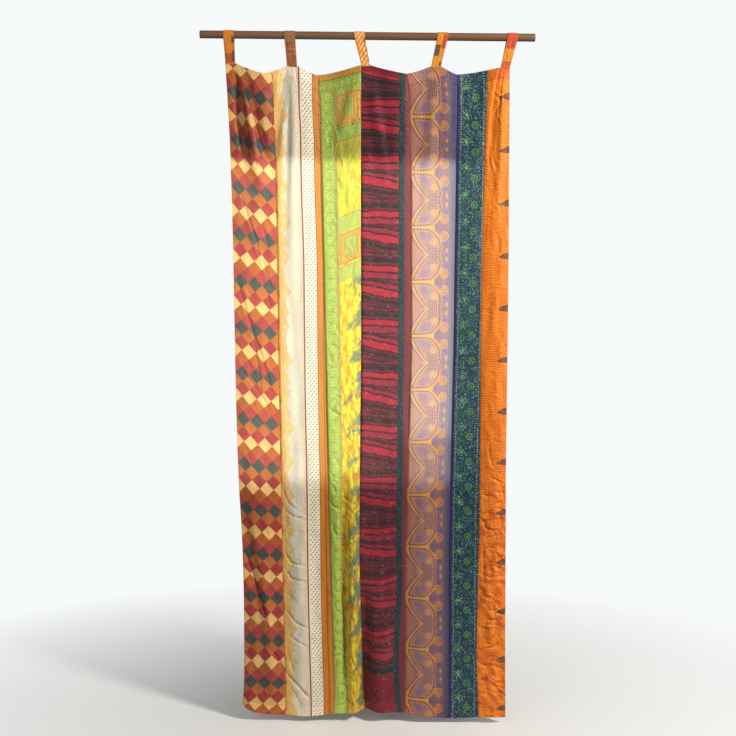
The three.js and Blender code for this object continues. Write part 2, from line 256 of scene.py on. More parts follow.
# Short creases strewn over a strip: how many, between which drops, least and most lean (drop over
# run), length, half width and how far out
PLEATS = [
    [(9, 1400, 2450, 0.6, 3.0, 90, 9, -1.6), (12, 640, 1400, 1.2, 4.0, 120, 9, -1.8)],
    [(12, 1500, 2420, 0.3, 1.2, 60, 7, -1.2), (10, 1500, 2420, -1.2, -0.3, 50, 7, 1.0)],
    [(30, 880, 2480, -2.6, -0.6, 70, 7, -2.8), (34, 1300, 2480, 0.5, 3.0, 70, 7, -3.2),
     (16, 300, 880, -2.4, -0.7, 60, 7, -1.4)],
    [(26, 420, 2400, -0.25, 0.35, 80, 6, -0.9)],
    [(8, 600, 2450, -0.6, 0.6, 60, 8, -0.9)],
    [(16, 1300, 2450, -0.4, 0.4, 60, 8, -1.2)],
    [(34, 1600, 2450, -0.5, 0.5, 64, 7, -2.4), (10, 500, 1600, -0.3, 0.3, 60, 6, -0.8),
     (7, 1500, 2400, 3.0, 8.0, 120, 8, -1.8)],
]


def smooth_at(rows, values, at):
    """A smooth line through (rows, values) read at each place: cubic pieces whose slope at a row is that
    of the straight line between its two neighbours."""
    at = np.clip(at, rows[0], rows[-1])
    last = len(rows) - 1
    i = np.clip(np.searchsorted(rows[1:], at), 0, last - 1)
    before = np.maximum(np.arange(last + 1) - 1, 0)
    after = np.minimum(np.arange(last + 1) + 1, last)
    slope = (values[after] - values[before]) / (rows[after] - rows[before])
    span = rows[i + 1] - rows[i]
    t = (at - rows[i]) / span
    rise = t * t * (3 - 2 * t)
    ends = (1 - t) * slope[i] - t * slope[i + 1]
    return (1 - rise) * values[i] + rise * values[i + 1] + span * t * (1 - t) * ends


def edge_x(column, drop):
    """The x of an edge or seam, counted from the left, at a drop."""
    return smooth_at(EDGES[:, 0], EDGES[:, 1 + column], drop)


def blend(a, b, t):
    """The way from a to b as t goes from 0 to 1: a + (b - a) * t."""
    return a + (b - a) * t


def ease(t):
    """A smooth rise from 0 to 1 as t goes from 0 to 1."""
    t = np.clip(t, 0, 1)
    return t * t * (3 - 2 * t)


def bell(away, half):
    """A bell curve: 1 at nought, and nearly nothing beyond twice the half width."""
    return np.exp(-((away / half) ** 2))


def running(steps):
    """The places along a line from its steps, starting at nought."""
    return np.concatenate([[0], np.cumsum(steps)])


def spans():
    """Each span of heading between two tabs: both ends' x and drop, then its sag."""
    found = []
    for (_, _, x1, w1, d1), (_, _, x2, w2, d2), sag in zip(TABS, TABS[1:], SAGS):
        found.append((x1 + w1 / 2, d1, x2 - w2 / 2, d2, *sag))
    return found


def top_drop(x):
    """The heading's top edge: level on a tab, and between two tabs a rounded V, lowest drop - (lowest
    drop - end drop) * (distance from the lowest point / distance of the end) ^ roundness."""
    feet = np.array([tab[2] for tab in TABS], float)
    drops = np.array([tab[4] for tab in TABS], float)
    nearest = np.abs(np.asarray(x)[..., None] - feet).argmin(-1)
    top = drops[nearest]
    for from_x, from_drop, to_x, to_drop, low_x, low_drop, _ in spans():
        inside = (x > from_x) & (x < to_x)
        left = x < low_x
        end_x = np.where(left, from_x, to_x)
        end_drop = np.where(left, from_drop, to_drop)
        away = np.abs((x - low_x) / (end_x - low_x)) ** SAG_ROUNDNESS
        top = np.where(inside, low_drop - (low_drop - end_drop) * away, top)
    return top


def belly_out(x, drop):
    """How far the heading bellies out between two tabs: a squared half sine across the span, times a bell
    that fades down the curtain."""
    out = np.zeros(np.broadcast(x, drop).shape)
    for from_x, _, to_x, _, _, low_drop, depth in spans():
        inside = (x > from_x) & (x < to_x)
        across = np.sin(math.pi * np.clip((x - from_x) / (to_x - from_x), 0, 1)) ** 2
        out += inside * depth * across * bell(drop - low_drop, BELLY_LENGTH)
    return out


def folds_out(x, drop):
    """The main folds together: each is a raised cosine across its line, times a half sine along it."""
    out = np.zeros(np.broadcast(x, drop).shape)
    for x1, drop1, x2, drop2, half, depth in FOLDS:
        along = (drop - drop1) / (drop2 - drop1)
        across = np.clip((x - blend(x1, x2, along)) / half, -1, 1)
        half_sine = np.sin(math.pi * np.clip(along, 0, 1))
        out += depth * half_sine * (1 + np.cos(math.pi * across)) / 2
    return out


# Strewn creases: the four points of each, as shares of its length and of its bend; how far it may lie from
# its even place down the strip, and where it may lie across it; its most bend; and the least and most
# shares of its group's length, half width and depth
PLEAT_SEED = 301
PLEAT_PARTS = np.array([-0.5, -0.17, 0.17, 0.5])
PLEAT_BENDS = np.array([-1, -0.33, 0.33, 1])
PLEAT_SCATTER, PLEAT_ACROSS, PLEAT_BEND = 20, (0.12, 0.88), 0.35
PLEAT_LENGTHS, PLEAT_HALVES, PLEAT_DEPTHS = (0.6, 1.3), (0.8, 1.3), (0.5, 1.3)


def strewn_creases():
    """The short creases of every strip, as rows of the table of creases: each starts at a seeded place
    between its strip's seams and runs on with a slight bend."""
    found = []
    rng = np.random.default_rng(PLEAT_SEED)
    for index, groups in enumerate(PLEATS):
        for count, start, end, least, most, length, half, depth in groups:
            scatter = rng.uniform(-PLEAT_SCATTER, PLEAT_SCATTER, count)
            for place in np.linspace(start, end, count) + scatter:
                low, high = edge_x(index, place), edge_x(index + 1, place)
                middle = blend(low, high, rng.uniform(*PLEAT_ACROSS))
                angle = math.atan(rng.uniform(least, most))
                bend = rng.uniform(-PLEAT_BEND, PLEAT_BEND)
                run = length * rng.uniform(*PLEAT_LENGTHS) * PLEAT_PARTS
                turned = angle + bend * PLEAT_BENDS
                points = np.stack([middle + run * np.cos(turned), place + run * np.sin(turned)], -1)
                points[:, 0] = np.clip(points[:, 0], low + half, high - half)
                own_half = half * rng.uniform(*PLEAT_HALVES)
                found.append((own_half, depth * rng.uniform(*PLEAT_DEPTHS), points))
    return found


ALL_CREASES = CREASES + strewn_creases()


def creases_out(x, drop):
    """The creases together: across a line of points each falls off as (1 - distance / half width)
    squared, so that its bottom is sharp, and towards both ends of the line it fades away."""
    out = np.zeros(x.shape)
    for half, depth, points in ALL_CREASES:
        points = np.array(points, float)
        low, high = points.min(0) - half, points.max(0) + half
        near = (x > low[0]) & (x < high[0]) & (drop > low[1]) & (drop < high[1])
        if not near.any():
            continue
        px, pd = x[near], drop[near]
        steps = np.diff(points, axis=0)
        lengths = np.maximum(np.hypot(*steps.T), 0.1)
        before = running(lengths)
        best = np.full(px.shape, np.inf)
        place = np.zeros(px.shape)
        for start, step, length, passed in zip(points, steps, lengths, before):
            t = np.clip(((px - start[0]) * step[0] + (pd - start[1]) * step[1]) / length**2, 0, 1)
            away = np.hypot(px - start[0] - t * step[0], pd - start[1] - t * step[1])
            place = np.where(away < best, passed + t * length, place)
            best = np.minimum(best, away)
        whole = before[-1]
        fade = np.clip(np.minimum(place, whole - place) / (CREASE_FADE * whole) + CREASE_LEFT, 0, 1)
        out[near] += CREASE_GAIN * depth * fade * np.clip(1 - best / half, 0, 1) ** 2
    return out


# Ripples: waves in each surface, and the least and most wavelengths across and down of each kind
RIPPLE_WAVES = 9
LOOSE_WAVES = ((34, 110), (160, 620))
BEND_WAVES = ((60, 130), (70, 150))
PATCH_WAVES = ((80, 220), (140, 420))


def ripples(x, drop, waves, seed):
    """A soft uneven surface: the mean of sine waves with seeded directions and phases. waves is (least,
    most) wavelength across and down."""
    rng = np.random.default_rng(seed)
    (across_least, across_most), (down_least, down_most) = waves
    total = np.zeros(x.shape)
    for _ in range(RIPPLE_WAVES):
        across = 2 * math.pi / rng.uniform(across_least, across_most) * rng.choice([-1, 1])
        down = 2 * math.pi / rng.uniform(down_least, down_most)
        total += np.sin(across * x + down * drop + rng.uniform(0, 2 * math.pi))
    return total / math.sqrt(RIPPLE_WAVES)


# Crinkles: waves in each layer, how far their places are bent across and down, the length over which a
# layer starts and ends, and the mean, swing, least and most strength of its patches
CRINKLE_WAVES = 5
BENT_ACROSS, BENT_DOWN = 8, 12
CRINKLE_FADE = 90
PATCH_MEAN, PATCH_SWING, PATCH_LEAST, PATCH_MOST = 0.65, 0.6, 0.1, 1.4


def crinkle_out(index, x, drop):
    """The sharp ridges of one strip's cloth: each wave is 1 - pi / 2 * |sine|, so that it has sharp tops
    and a mean of nought, over places bent by soft ripples, and comes and goes in patches."""
    out = np.zeros(x.shape)
    for layer, row in enumerate(STRIPS[index]["crinkles"]):
        wide_least, wide_most, tall_least, tall_most, depth, start, end = row
        seed = 200 + 20 * index + layer
        rng = np.random.default_rng(seed)
        bent_x = x + BENT_ACROSS * ripples(x, drop, BEND_WAVES, seed + 7)
        bent_drop = drop + BENT_DOWN * ripples(x, drop, BEND_WAVES, seed + 8)
        total = np.zeros(x.shape)
        for _ in range(CRINKLE_WAVES):
            across = math.pi / rng.uniform(wide_least, wide_most) * rng.choice([-1, 1])
            down = math.pi / rng.uniform(tall_least, tall_most)
            wave = np.sin(across * bent_x + down * bent_drop + rng.uniform(0, math.pi))
            total += 1 - math.pi / 2 * np.abs(wave)
        patch = PATCH_MEAN + PATCH_SWING * ripples(x, drop, PATCH_WAVES, seed + 9)
        patch = np.clip(patch, PATCH_LEAST, PATCH_MOST)
        fade = ease((drop - start) / CRINKLE_FADE) * ease((end - drop) / CRINKLE_FADE)
        out += depth * total / math.sqrt(CRINKLE_WAVES) * patch * fade
    return out


def cloth_out(x, drop, u):
    """How far the cloth stands out to the front at a place, with u running 0 to 1 across its strip: the
    heading's belly and the creases, and below the heading the folds and the strip's own fullness."""
    swell = (1 + np.sin((drop + x) / BILLOW_WAVE)) / 2
    full = blend(BILLOW_LEAST, BILLOW_MOST, swell) * np.sin(math.pi * np.clip(u, 0, 1))
    below = np.clip((drop - top_drop(x)) / HEADING_DEPTH, 0, 1)
    return belly_out(x, drop) + below * (folds_out(x, drop) + full) + creases_out(x, drop)


# Small relief: the distance from the top edge and the hem over which it starts, the share of the crinkles
# that is there from the edge on, and the loose ripples' depth. At a seam: how far out the crinkles are
# calmed and how far out the gathers and the dip run, the dip's depth, and the gathers' lengths and slant.
# At a row of stitches: how far out the puckers and the groove run, their depths and the puckers' lengths.
RELIEF_START, CRINKLE_AT_EDGE, LOOSE_DEPTH, LOOSE_SEED = 60, 0.35, 0.9, 11
SEAM_CALM, GATHER_REACH, DIP_REACH, DIP_DEPTH, SEAM_SEED = 13, 11, 4.5, 0.9, 91
GATHER_SIZES, GATHER_LEAN = (13, 17.5, 24, 41), 9
PUCKER_REACH, GROOVE_REACH, PUCKER_DEPTH, GROOVE_DEPTH, PUCKER_SEED = 7, 0.9, 0.22, 0.45, 71
PUCKER_SIZES = (9.5, 13, 21)


def surface_out(index, x, drop, u, depth, rise, from_left, from_right):
    """How far one strip's cloth stands out with all its small relief: soft ripples that run on from strip
    to strip, its own crinkles, which die out at its seams, gathers beside the seams, a dip along each
    seam, and puckers and a groove along the heading's stitches and the hem's."""
    inside = np.clip(np.minimum(depth, rise) / RELIEF_START, 0, 1)
    out = cloth_out(x, drop, u) + LOOSE_DEPTH * inside * ripples(x, drop, LOOSE_WAVES, LOOSE_SEED)
    free = blend(CRINKLE_AT_EDGE, 1, inside)
    for seam, away in ((index, from_left), (index + 1, from_right)):
        if not 0 < seam < len(STRIPS):
            continue
        free = free * (1 - bell(np.maximum(away, 0), SEAM_CALM))
        rng = np.random.default_rng(SEAM_SEED + seam)
        wave = sum(
            np.sin(2 * math.pi * (drop / size + rng.uniform()) + away / GATHER_LEAN) for size in GATHER_SIZES
        )
        pull = (STRIPS[seam - 1]["gather"] + STRIPS[seam]["gather"]) / 4
        out += pull * wave * bell(away, GATHER_REACH) * inside
        out -= DIP_DEPTH * bell(away, DIP_REACH) * inside
    out += free * crinkle_out(index, x, drop)
    rng = np.random.default_rng(PUCKER_SEED)
    for away in (depth - HEADING_DEPTH, rise - FOOT_HEM_DEPTH):
        wave = sum(np.sin(2 * math.pi * (x / size + rng.uniform())) for size in PUCKER_SIZES)
        out += PUCKER_DEPTH * wave * bell(away, PUCKER_REACH)
        out -= GROOVE_DEPTH * bell(away, GROOVE_REACH)
    return out


# Grid lines: small steps at edges and stitch lines, even steps between them
EDGE_STEPS = np.array([0, 0.5, 1.1, 2.0, 3.2, 5.0, 7.5])
STITCH_STEPS = np.array([-2.6, -1.3, -0.6, 0, 0.6, 1.3, 2.6])


def grid_places(length, step, *stitch_lines):
    """The grid's lines along a length, from 0 to 1: small steps at both ends and about each line of
    stitches, and even ones about a step long between them."""
    close = [EDGE_STEPS, *(line + STITCH_STEPS for line in stitch_lines), (length - EDGE_STEPS)[::-1]]
    parts = [close[0]]
    for before, after in zip(close, close[1:]):
        start, end = before[-1], after[0]
        parts.append(np.linspace(start, end, max(2, round((end - start) / step) + 1))[1:-1])
        parts.append(after)
    return np.concatenate(parts) / length


def ring_faces(rows, around):
    """The corners of the four-sided faces between rows of points, where each row closes on itself."""
    r, k = np.meshgrid(np.arange(rows - 1), np.arange(around), indexing="ij")
    after = (k + 1) % around
    corners = [r * around + k, (r + 1) * around + k, (r + 1) * around + after, r * around + after]
    return np.stack(corners, -1).reshape(-1, 4)


# The gap between the lengths of an unwrapped sheet, as a share of their size, and how many gaps a rim takes
UNWRAP_GAP, RIM_ROW = 0.006, 1.3


def bake_places(ring):
    """The unwrapped places of a closed sheet's side faces and of its two end rims, for each face corner.
    The sheet is slit down its left rim and cut across into lengths that lie side by side in a square."""
    rows, around = ring.shape[:2]
    along = running(np.linalg.norm(np.diff(ring, axis=0), axis=2).mean(1))
    turn = running(np.linalg.norm(np.roll(ring, -1, axis=1) - ring, axis=2).mean(0))
    girth, length = turn[-1], along[-1]
    pieces = max(1, round(math.sqrt(length / girth)))
    gap = UNWRAP_GAP * max(length / pieces, girth)
    first = np.searchsorted(along, np.arange(pieces) * length / pieces)
    piece = np.searchsorted(first, np.arange(rows - 1), side="right") - 1
    tall = max(along[np.append(first[1:], rows - 1)] - along[first])
    side = max(pieces * (girth + gap) + gap, tall + 4 * gap)
    r, k = np.meshgrid(np.arange(rows - 1), np.arange(around), indexing="ij")
    u0, u1 = (gap + piece[r] * (girth + gap) + turn[corner] for corner in (k, k + 1))
    v0, v1 = (gap + along[corner] - along[first[piece[r]]] for corner in (r, r + 1))
    places = [np.stack([u0, v0, u0, v1, u1, v1, u1, v0], -1).reshape(-1, 2)]
    c = np.arange(around // 2 - 1)
    a, b = gap + turn[c], gap + turn[c + 1]
    low = side - 2 * RIM_ROW * gap
    for level in (low, low + RIM_ROW * gap):
        lower, upper = np.full(c.shape, level), np.full(c.shape, level + gap)
        places.append(np.stack([a, lower, b, lower, b, upper, a, upper], -1).reshape(-1, 2))
    return np.concatenate(places) / side


def closed_sheet(name, front, back, cloth, edges):
    """A closed sheet: a grid of front points and one of back points, joined round all four rims. cloth is
    the place on the cloth of each point, across and down, and edges how far each lies under the top edge,
    over the hem and from the right edge."""
    rows, columns = front.shape[:2]
    around = 2 * columns
    ring = np.concatenate([front, back[:, ::-1]], axis=1)
    sides = ring_faces(rows, around)
    c = np.arange(columns - 1)
    back_c = around - 1 - c
    top = np.stack([c, c + 1, back_c - 1, back_c], -1)
    foot = (rows - 1) * around + np.stack([c, back_c, back_c - 1, c + 1], -1)
    faces = np.concatenate([sides, top, foot]).astype(np.int32)

    mesh = bpy.data.meshes.new(name)
    mesh.vertices.add(rows * around)
    mesh.vertices.foreach_set("co", (ring * MM).reshape(-1))
    mesh.loops.add(faces.size)
    mesh.loops.foreach_set("vertex_index", faces.reshape(-1))
    mesh.polygons.add(len(faces))
    mesh.polygons.foreach_set("loop_start", np.arange(0, faces.size, 4, dtype=np.int32))
    mesh.polygons.foreach_set("use_smooth", np.arange(len(faces)) < len(sides))

    def both(grid):
        """A grid's values in metres for the points all round, front and back."""
        return np.concatenate([grid, grid[:, ::-1]], axis=1) * MM

    place = mesh.uv_layers.new(name="cloth")
    place.uv.foreach_set("vector", both(cloth).reshape(-1, 2)[faces.reshape(-1)].reshape(-1))
    unwrapped = mesh.uv_layers.new(name="OFBake")
    unwrapped.uv.foreach_set("vector", bake_places(ring).reshape(-1))
    held = mesh.attributes.new("edges", "FLOAT_VECTOR", "POINT")
    held.data.foreach_set("vector", both(edges).reshape(-1))
    wrong_side = mesh.attributes.new("wrong_side", "FLOAT", "POINT")
    wrong_side.data.foreach_set("value", np.tile(np.arange(around) >= columns, rows).astype(float))
    mesh.update(calc_edges=True)
    mesh.validate()
    return new_object(name, mesh)


# Every rim turns to the back by RIM_TURN, over about RIM_HALF. The lip is the seam allowance behind the
# next strip: its steps, thickness, the cloth that its fold takes, how far from a corner it starts and the
# length over which it widens. GRID_DROP is where a strip's width is taken for its grid.
RIM_TURN, RIM_HALF = 0.75, 1.1
LIP_STEPS = np.array([0.5, 1.0, 2.2, 5.0, 9.0])
LIP_THICK, LIP_FOLD, LIP_START, LIP_WIDENS, LIP_LEAST = 0.9, 1.5, 4, 16, 0.08
GRID_DROP = 1000.0


def strip_sheet(index):
    """One strip: front points on the hanging surface between its two seams, and back points a cloth's
    thickness behind them, or two at the heading, the hem and an open side edge. Past its right seam the
    cloth steps back and runs a little way behind the next strip, as a seam allowance does."""
    strip = STRIPS[index]
    has_lip = index + 1 < len(STRIPS)
    column_step, row_step = strip["steps"]
    u = grid_places(edge_x(index + 1, GRID_DROP) - edge_x(index, GRID_DROP), column_step)
    length = HEM[0, 1] - TABS[0][4]
    share = grid_places(length, row_step, HEADING_DEPTH, length - FOOT_HEM_DEPTH)[:, None]
    head_x, foot_x = (blend(edge_x(index, level), edge_x(index + 1, level), u) for level in EDGES[[0, -1], 0])
    drop = blend(top_drop(head_x), smooth_at(HEM[:, 0], HEM[:, 1], foot_x), share)
    left = edge_x(index, drop) + PIECE_GAP / 2
    right = edge_x(index + 1, drop) - PIECE_GAP / 2
    x = blend(left, right, u)
    u = np.broadcast_to(u, x.shape)
    depth = np.broadcast_to(share * length, x.shape)
    rise = np.broadcast_to((1 - share) * length, x.shape)
    from_left, from_right = x - left, right - x
    out = surface_out(index, x, drop, u, depth, rise, from_left, from_right)
    out -= RIM_TURN * sum(bell(away, RIM_HALF) for away in (from_left, from_right, depth, rise))
    hemmed = (depth <= HEADING_DEPTH) | (rise <= FOOT_HEM_DEPTH)
    if index == 0:
        hemmed |= from_left <= SIDE_HEM
    if not has_lip:
        hemmed |= from_right <= SIDE_HEM
    thick = np.where(hemmed, HEM_THICK, CLOTH_THICK)
    y = -out - CLOTH_THICK / 2

    # The cloth's own measure across, along the surface, and the print's measure down
    steps = np.hypot(np.diff(x, axis=1), np.diff(belly_out(x, drop) + folds_out(x, drop), axis=1))
    across = np.concatenate([np.zeros_like(x[:, :1]), np.cumsum(steps, axis=1)], axis=1)
    fall = np.array(strip["fall"], float)
    down = drop - smooth_at(fall[:, 0], fall[:, 1], drop) * u

    if has_lip:
        room = np.clip((np.minimum(depth[:, -1:], rise[:, -1:]) - LIP_START) / LIP_WIDENS, LIP_LEAST, 1)
        past = LIP_STEPS * room

        def carried(grid):
            """The last column of a grid, for each of the lip's columns."""
            return np.broadcast_to(grid[:, -1:], past.shape)

        lip_x = x[:, -1:] + past
        next_width = edge_x(index + 2, carried(drop)) - edge_x(index + 1, carried(drop))
        next_out = surface_out(
            index + 1, lip_x, carried(drop), past / next_width,
            carried(depth), carried(rise), past, next_width - past,
        )
        next_thick = np.where(hemmed[:, -1:], HEM_THICK, CLOTH_THICK)
        lip_y = -next_out - CLOTH_THICK / 2 + next_thick + PIECE_GAP + RIM_TURN * bell(past, LIP_FOLD)
        lip = (
            lip_x, lip_y, np.full(past.shape, LIP_THICK), carried(drop), across[:, -1:] + past + LIP_FOLD,
            carried(down), carried(depth), carried(rise), np.zeros(past.shape),
        )
        x, y, thick, drop, across, down, depth, rise, from_right = (
            np.concatenate([grid, more], 1)
            for grid, more in zip((x, y, thick, drop, across, down, depth, rise, from_right), lip)
        )

    front = np.stack([x, y, -drop], -1)
    back = np.stack([x, y + thick, -drop], -1)
    edges = np.stack([depth, rise, from_right], -1)
    return closed_sheet(strip["name"] + "_cloth", front, back, np.stack([across, down], -1), edges)


# Tabs: rows of points along each straight run and round the rod, and columns; the share of the tail left
# at each of its rows, and how far it is tucked under the heading; how far the stitches sink the band and
# how far they lie from its edges
TAB_ROWS_STRAIGHT, TAB_ROWS_ARC, TAB_COLUMNS = 34, 40, 21
TAB_TAIL_LEFT = np.array([1, 0.75, 0.5, 0.25])
TAB_TUCK = 5.0
TAB_SUNK, TAB_STITCH_IN, TAB_STITCH_HALF = 0.28, 3.2, 0.9
# A tab's creases: their sizes and slants, their depth, and the share of its height that lies smooth
# about the rod. They end towards the heading: at which share of its height, and over what length. Its
# edges are rounded: the power in the formula, and the least share left. It gets thinner where it goes
# under the heading: from which share of its height, and by how much.
TAB_CREASES = ((15, 0.03), (24, -0.05), (33, 0.08))
TAB_CREASE_DEPTH, TAB_SMOOTH, TAB_SEED = 0.30, 0.16, 7
TAB_CREASE_END, TAB_CREASE_FADE = 0.95, 30
TAB_SQUARENESS, TAB_EDGE_LEFT = 14, 0.02
TAB_THINS, TAB_THINNER = 0.97, 0.45


def tab_sheet(index):
    """One tab: a band that runs up the front from the heading, round the rod and down the back to meet
    itself. Its middle line is two straight runs and an arc, in the plane across the rod, and it leans to
    its place on the heading on the way down."""
    name, rod_x, foot_x, foot_width, foot_drop = TABS[index]
    rng = np.random.default_rng(TAB_SEED + index)
    middle = ROD_RADIUS + PIECE_GAP + TAB_THICK / 2
    foot_out = TAB_THICK / 2 - TAB_SUNK
    meet = foot_drop - TAB_TAIL
    lean = math.asin((middle - TAB_THICK / 2) / meet)
    arc = np.linspace(-lean, math.pi + lean, TAB_ROWS_ARC)
    arc_across, arc_height = -middle * np.cos(arc), middle * np.sin(arc)
    run = np.linspace(0, 1, TAB_ROWS_STRAIGHT, endpoint=False)
    tail = blend(-(foot_drop + TAB_TUCK), -meet, 1 - TAB_TAIL_LEFT)
    up_height = np.concatenate([tail, blend(-meet, arc_height[0], run)])
    up_across = np.concatenate([np.full(len(tail), -foot_out), blend(-TAB_THICK / 2, arc_across[0], run)])
    across = np.concatenate([up_across, arc_across, -up_across[::-1]])
    height = np.concatenate([up_height, arc_height, up_height[::-1]])
    along = running(np.hypot(np.diff(across), np.diff(height)))[:, None]
    tangent = np.stack([np.gradient(across), np.gradient(height)], -1)
    tangent /= np.linalg.norm(tangent, axis=1, keepdims=True)

    w = np.sin(np.linspace(math.pi / 2, -math.pi / 2, TAB_COLUMNS))[None, :]
    down = np.maximum(-height / foot_drop, 0)[:, None]
    width = blend(TAB_ROD_WIDTH, foot_width, down)
    aside = w * width / 2
    x = blend(rod_x, foot_x, down) + aside
    soft = 1 - bell(down, TAB_SMOOTH)
    creased = sum(
        np.sin(aside * 2 * math.pi / size + along * turn + rng.uniform(0, 6))
        for size, turn in TAB_CREASES
    )
    free = np.clip((foot_drop * TAB_CREASE_END + height[:, None]) / TAB_CREASE_FADE, 0, 1)
    lift = TAB_CREASE_DEPTH * creased * soft * free
    stitched = bell(np.abs(aside) - (width / 2 - TAB_STITCH_IN), TAB_STITCH_HALF)
    rounded = np.sqrt(np.clip(1 - np.abs(w) ** TAB_SQUARENESS, TAB_EDGE_LEFT, 1))
    tucked = np.clip(down - TAB_THINS, 0, 1 - TAB_THINS) / (1 - TAB_THINS)
    half = TAB_THICK / 2 * rounded * (1 - TAB_THINNER * tucked)

    def band(off):
        """The band's points at a distance outwards from its middle line."""
        y = across[:, None] - tangent[:, 1:] * off
        z = height[:, None] + tangent[:, :1] * off
        return np.stack([x, y, z], -1)

    along = np.broadcast_to(along, x.shape)
    cloth = np.stack([aside, along], -1)
    edges = np.stack([along, np.broadcast_to(-height[:, None], x.shape), width / 2 - np.abs(aside)], -1)
    return closed_sheet(name + "_band", band(half + lift - TAB_SUNK * stitched), band(-half), cloth, edges)


ROD_BEVEL, ROD_SIDES, ROD_STATIONS, ROD_BEVEL_STEPS = 2.0, 72, 97, 6
# How uneven the rod's radius is: the depth and wavelength divided by a full turn of two waves along it
SLOW_WAVE, QUICK_WAVE = (0.06, 71), (0.04, 29)


def rod_mesh():
    """The rod: a round profile carried along X, its radius rounded off over the last two millimetres at
    both ends and a hair uneven between them, closed by a disc at each end."""
    half = ROD_LENGTH / 2
    turn = np.linspace(math.pi / 2, 0, ROD_BEVEL_STEPS)[:-1]
    left = -half + ROD_BEVEL - ROD_BEVEL * np.sin(turn)
    x = np.concatenate([left, np.linspace(-half + ROD_BEVEL, half - ROD_BEVEL, ROD_STATIONS), -left[::-1]])
    shrink = ROD_BEVEL * (1 - np.cos(turn))
    rounded = np.concatenate([shrink, np.zeros(ROD_STATIONS), shrink[::-1]])
    angle = -np.linspace(0, 2 * math.pi, ROD_SIDES, endpoint=False)
    (slow, slow_run), (quick, quick_run) = SLOW_WAVE, QUICK_WAVE
    wobble = slow * np.sin(x / slow_run) + quick * np.sin(x / quick_run + 1) - (slow + quick)
    radius = (ROD_RADIUS + wobble - rounded)[:, None]
    hoops = np.stack(np.broadcast_arrays(x[:, None], radius * np.cos(angle), radius * np.sin(angle)), -1)
    vertices = np.concatenate([hoops.reshape(-1, 3), [(x[0], 0, 0), (x[-1], 0, 0)]]) * MM
    quads = ring_faces(len(x), ROD_SIDES)
    k = np.arange(ROD_SIDES)
    after = (k + 1) % ROD_SIDES
    end = (len(x) - 1) * ROD_SIDES
    left_middle = len(x) * ROD_SIDES
    left_cap = np.stack([np.full(ROD_SIDES, left_middle), k, after], -1)
    right_cap = np.stack([np.full(ROD_SIDES, left_middle + 1), end + after, end + k], -1)
    mesh = bpy.data.meshes.new("rod_round")
    mesh.from_pydata(vertices.tolist(), [], quads.tolist() + left_cap.tolist() + right_cap.tolist())
    mesh.polygons.foreach_set("use_smooth", np.arange(len(mesh.polygons)) < len(quads))
    return new_object("rod_round", mesh)


# Materials
def colour_of(code):
    """A display colour code as a linear colour."""
    parts = [int(code[i:i + 2], 16) / 255 for i in (0, 2, 4)]
    return (*[p / 12.92 if p <= 0.04045 else ((p + 0.055) / 1.055) ** 2.4 for p in parts], 1.0)


def feed(tree, put, value):
    """Gives an input a value or a colour code, or a link to a number, an output or a node's first
    output."""
    if isinstance(value, Num):
        value = value.socket
    if isinstance(value, bpy.types.Node):
        value = value.outputs[0]
    if isinstance(value, bpy.types.NodeSocket):
        tree.links.new(value, put)
    else:
        put.default_value = colour_of(value) if isinstance(value, str) else value


def add(tree, kind, inputs=(), **settings):
    """A new node of a kind with its settings, and with its inputs fed by name or number."""
    node = tree.nodes.new("ShaderNode" + kind)
    for name, value in settings.items():
        setattr(node, name, value)
    for key, value in dict(inputs).items():
        feed(tree, node.inputs[key], value)
    return node


class Num:
    """A number that changes over a surface: one output of a node. Arithmetic on it adds Math nodes."""

    def __init__(self, tree, socket):
        self.tree = tree
        self.socket = socket

    def math(self, operation, *others, clamp=False):
        """The number and the others put through one Math node."""
        node = add(self.tree, "Math", enumerate((self, *others)), operation=operation, use_clamp=clamp)
        return Num(self.tree, node.outputs[0])

    def __add__(self, other):
        return self.math("ADD", other)

    def __sub__(self, other):
        return self.math("SUBTRACT", other)

    def __mul__(self, other):
        return self.math("MULTIPLY", other)

    def __truediv__(self, other):
        return self.math("DIVIDE", other)

    def __abs__(self):
        return self.math("ABSOLUTE")

    def wrapped(self, period):
        """The number taken back by whole periods until it lies within half a period of nought."""
        return self.math("WRAP", period / 2, -period / 2)

    def above(self, edge, blur):
        """1 above the edge and 0 below it, with a soft step as wide as blur."""
        return self.math("MULTIPLY_ADD", 1 / blur, 0.5 - edge / blur, clamp=True)

    def under(self, edge, blur):
        """1 below the edge and 0 above it. The edge may be a number that changes over the surface."""
        if isinstance(edge, Num):
            return (self - edge).under(0, blur)
        return self.math("MULTIPLY_ADD", -1 / blur, 0.5 + edge / blur, clamp=True)

    def within(self, half, blur):
        """1 within half of nought, either way."""
        return abs(self).under(half, blur)

    def between(self, low, high, blur):
        """1 from low to high."""
        return (self - (low + high) / 2).within((high - low) / 2, blur)

    def sine(self, period):
        """A sine wave of the number, one wave to each period."""
        return (self * (2 * math.pi / period)).math("SINE")

    def clipped(self):
        """The number held between 0 and 1."""
        return self.math("ADD", 0.0, clamp=True)


def lesser(a, b):
    """The lesser of two numbers."""
    return a.math("MINIMUM", b)


def greater(a, *others):
    """The greatest of some numbers."""
    for b in others:
        a = a.math("MAXIMUM", b)
    return a


def distance(a, b):
    """How far the point (a, b) is from nought."""
    return (a * a + b * b).math("SQRT")


def vector_of(tree, a, b, c=0.0):
    """A vector, or a colour, from three numbers."""
    return add(tree, "CombineXYZ", {0: a, 1: b, 2: c}).outputs[0]


def parts_of(tree, vector, count):
    """The first parts of a vector, as numbers."""
    node = add(tree, "SeparateXYZ", {0: vector})
    return [Num(tree, node.outputs[i]) for i in range(count)]


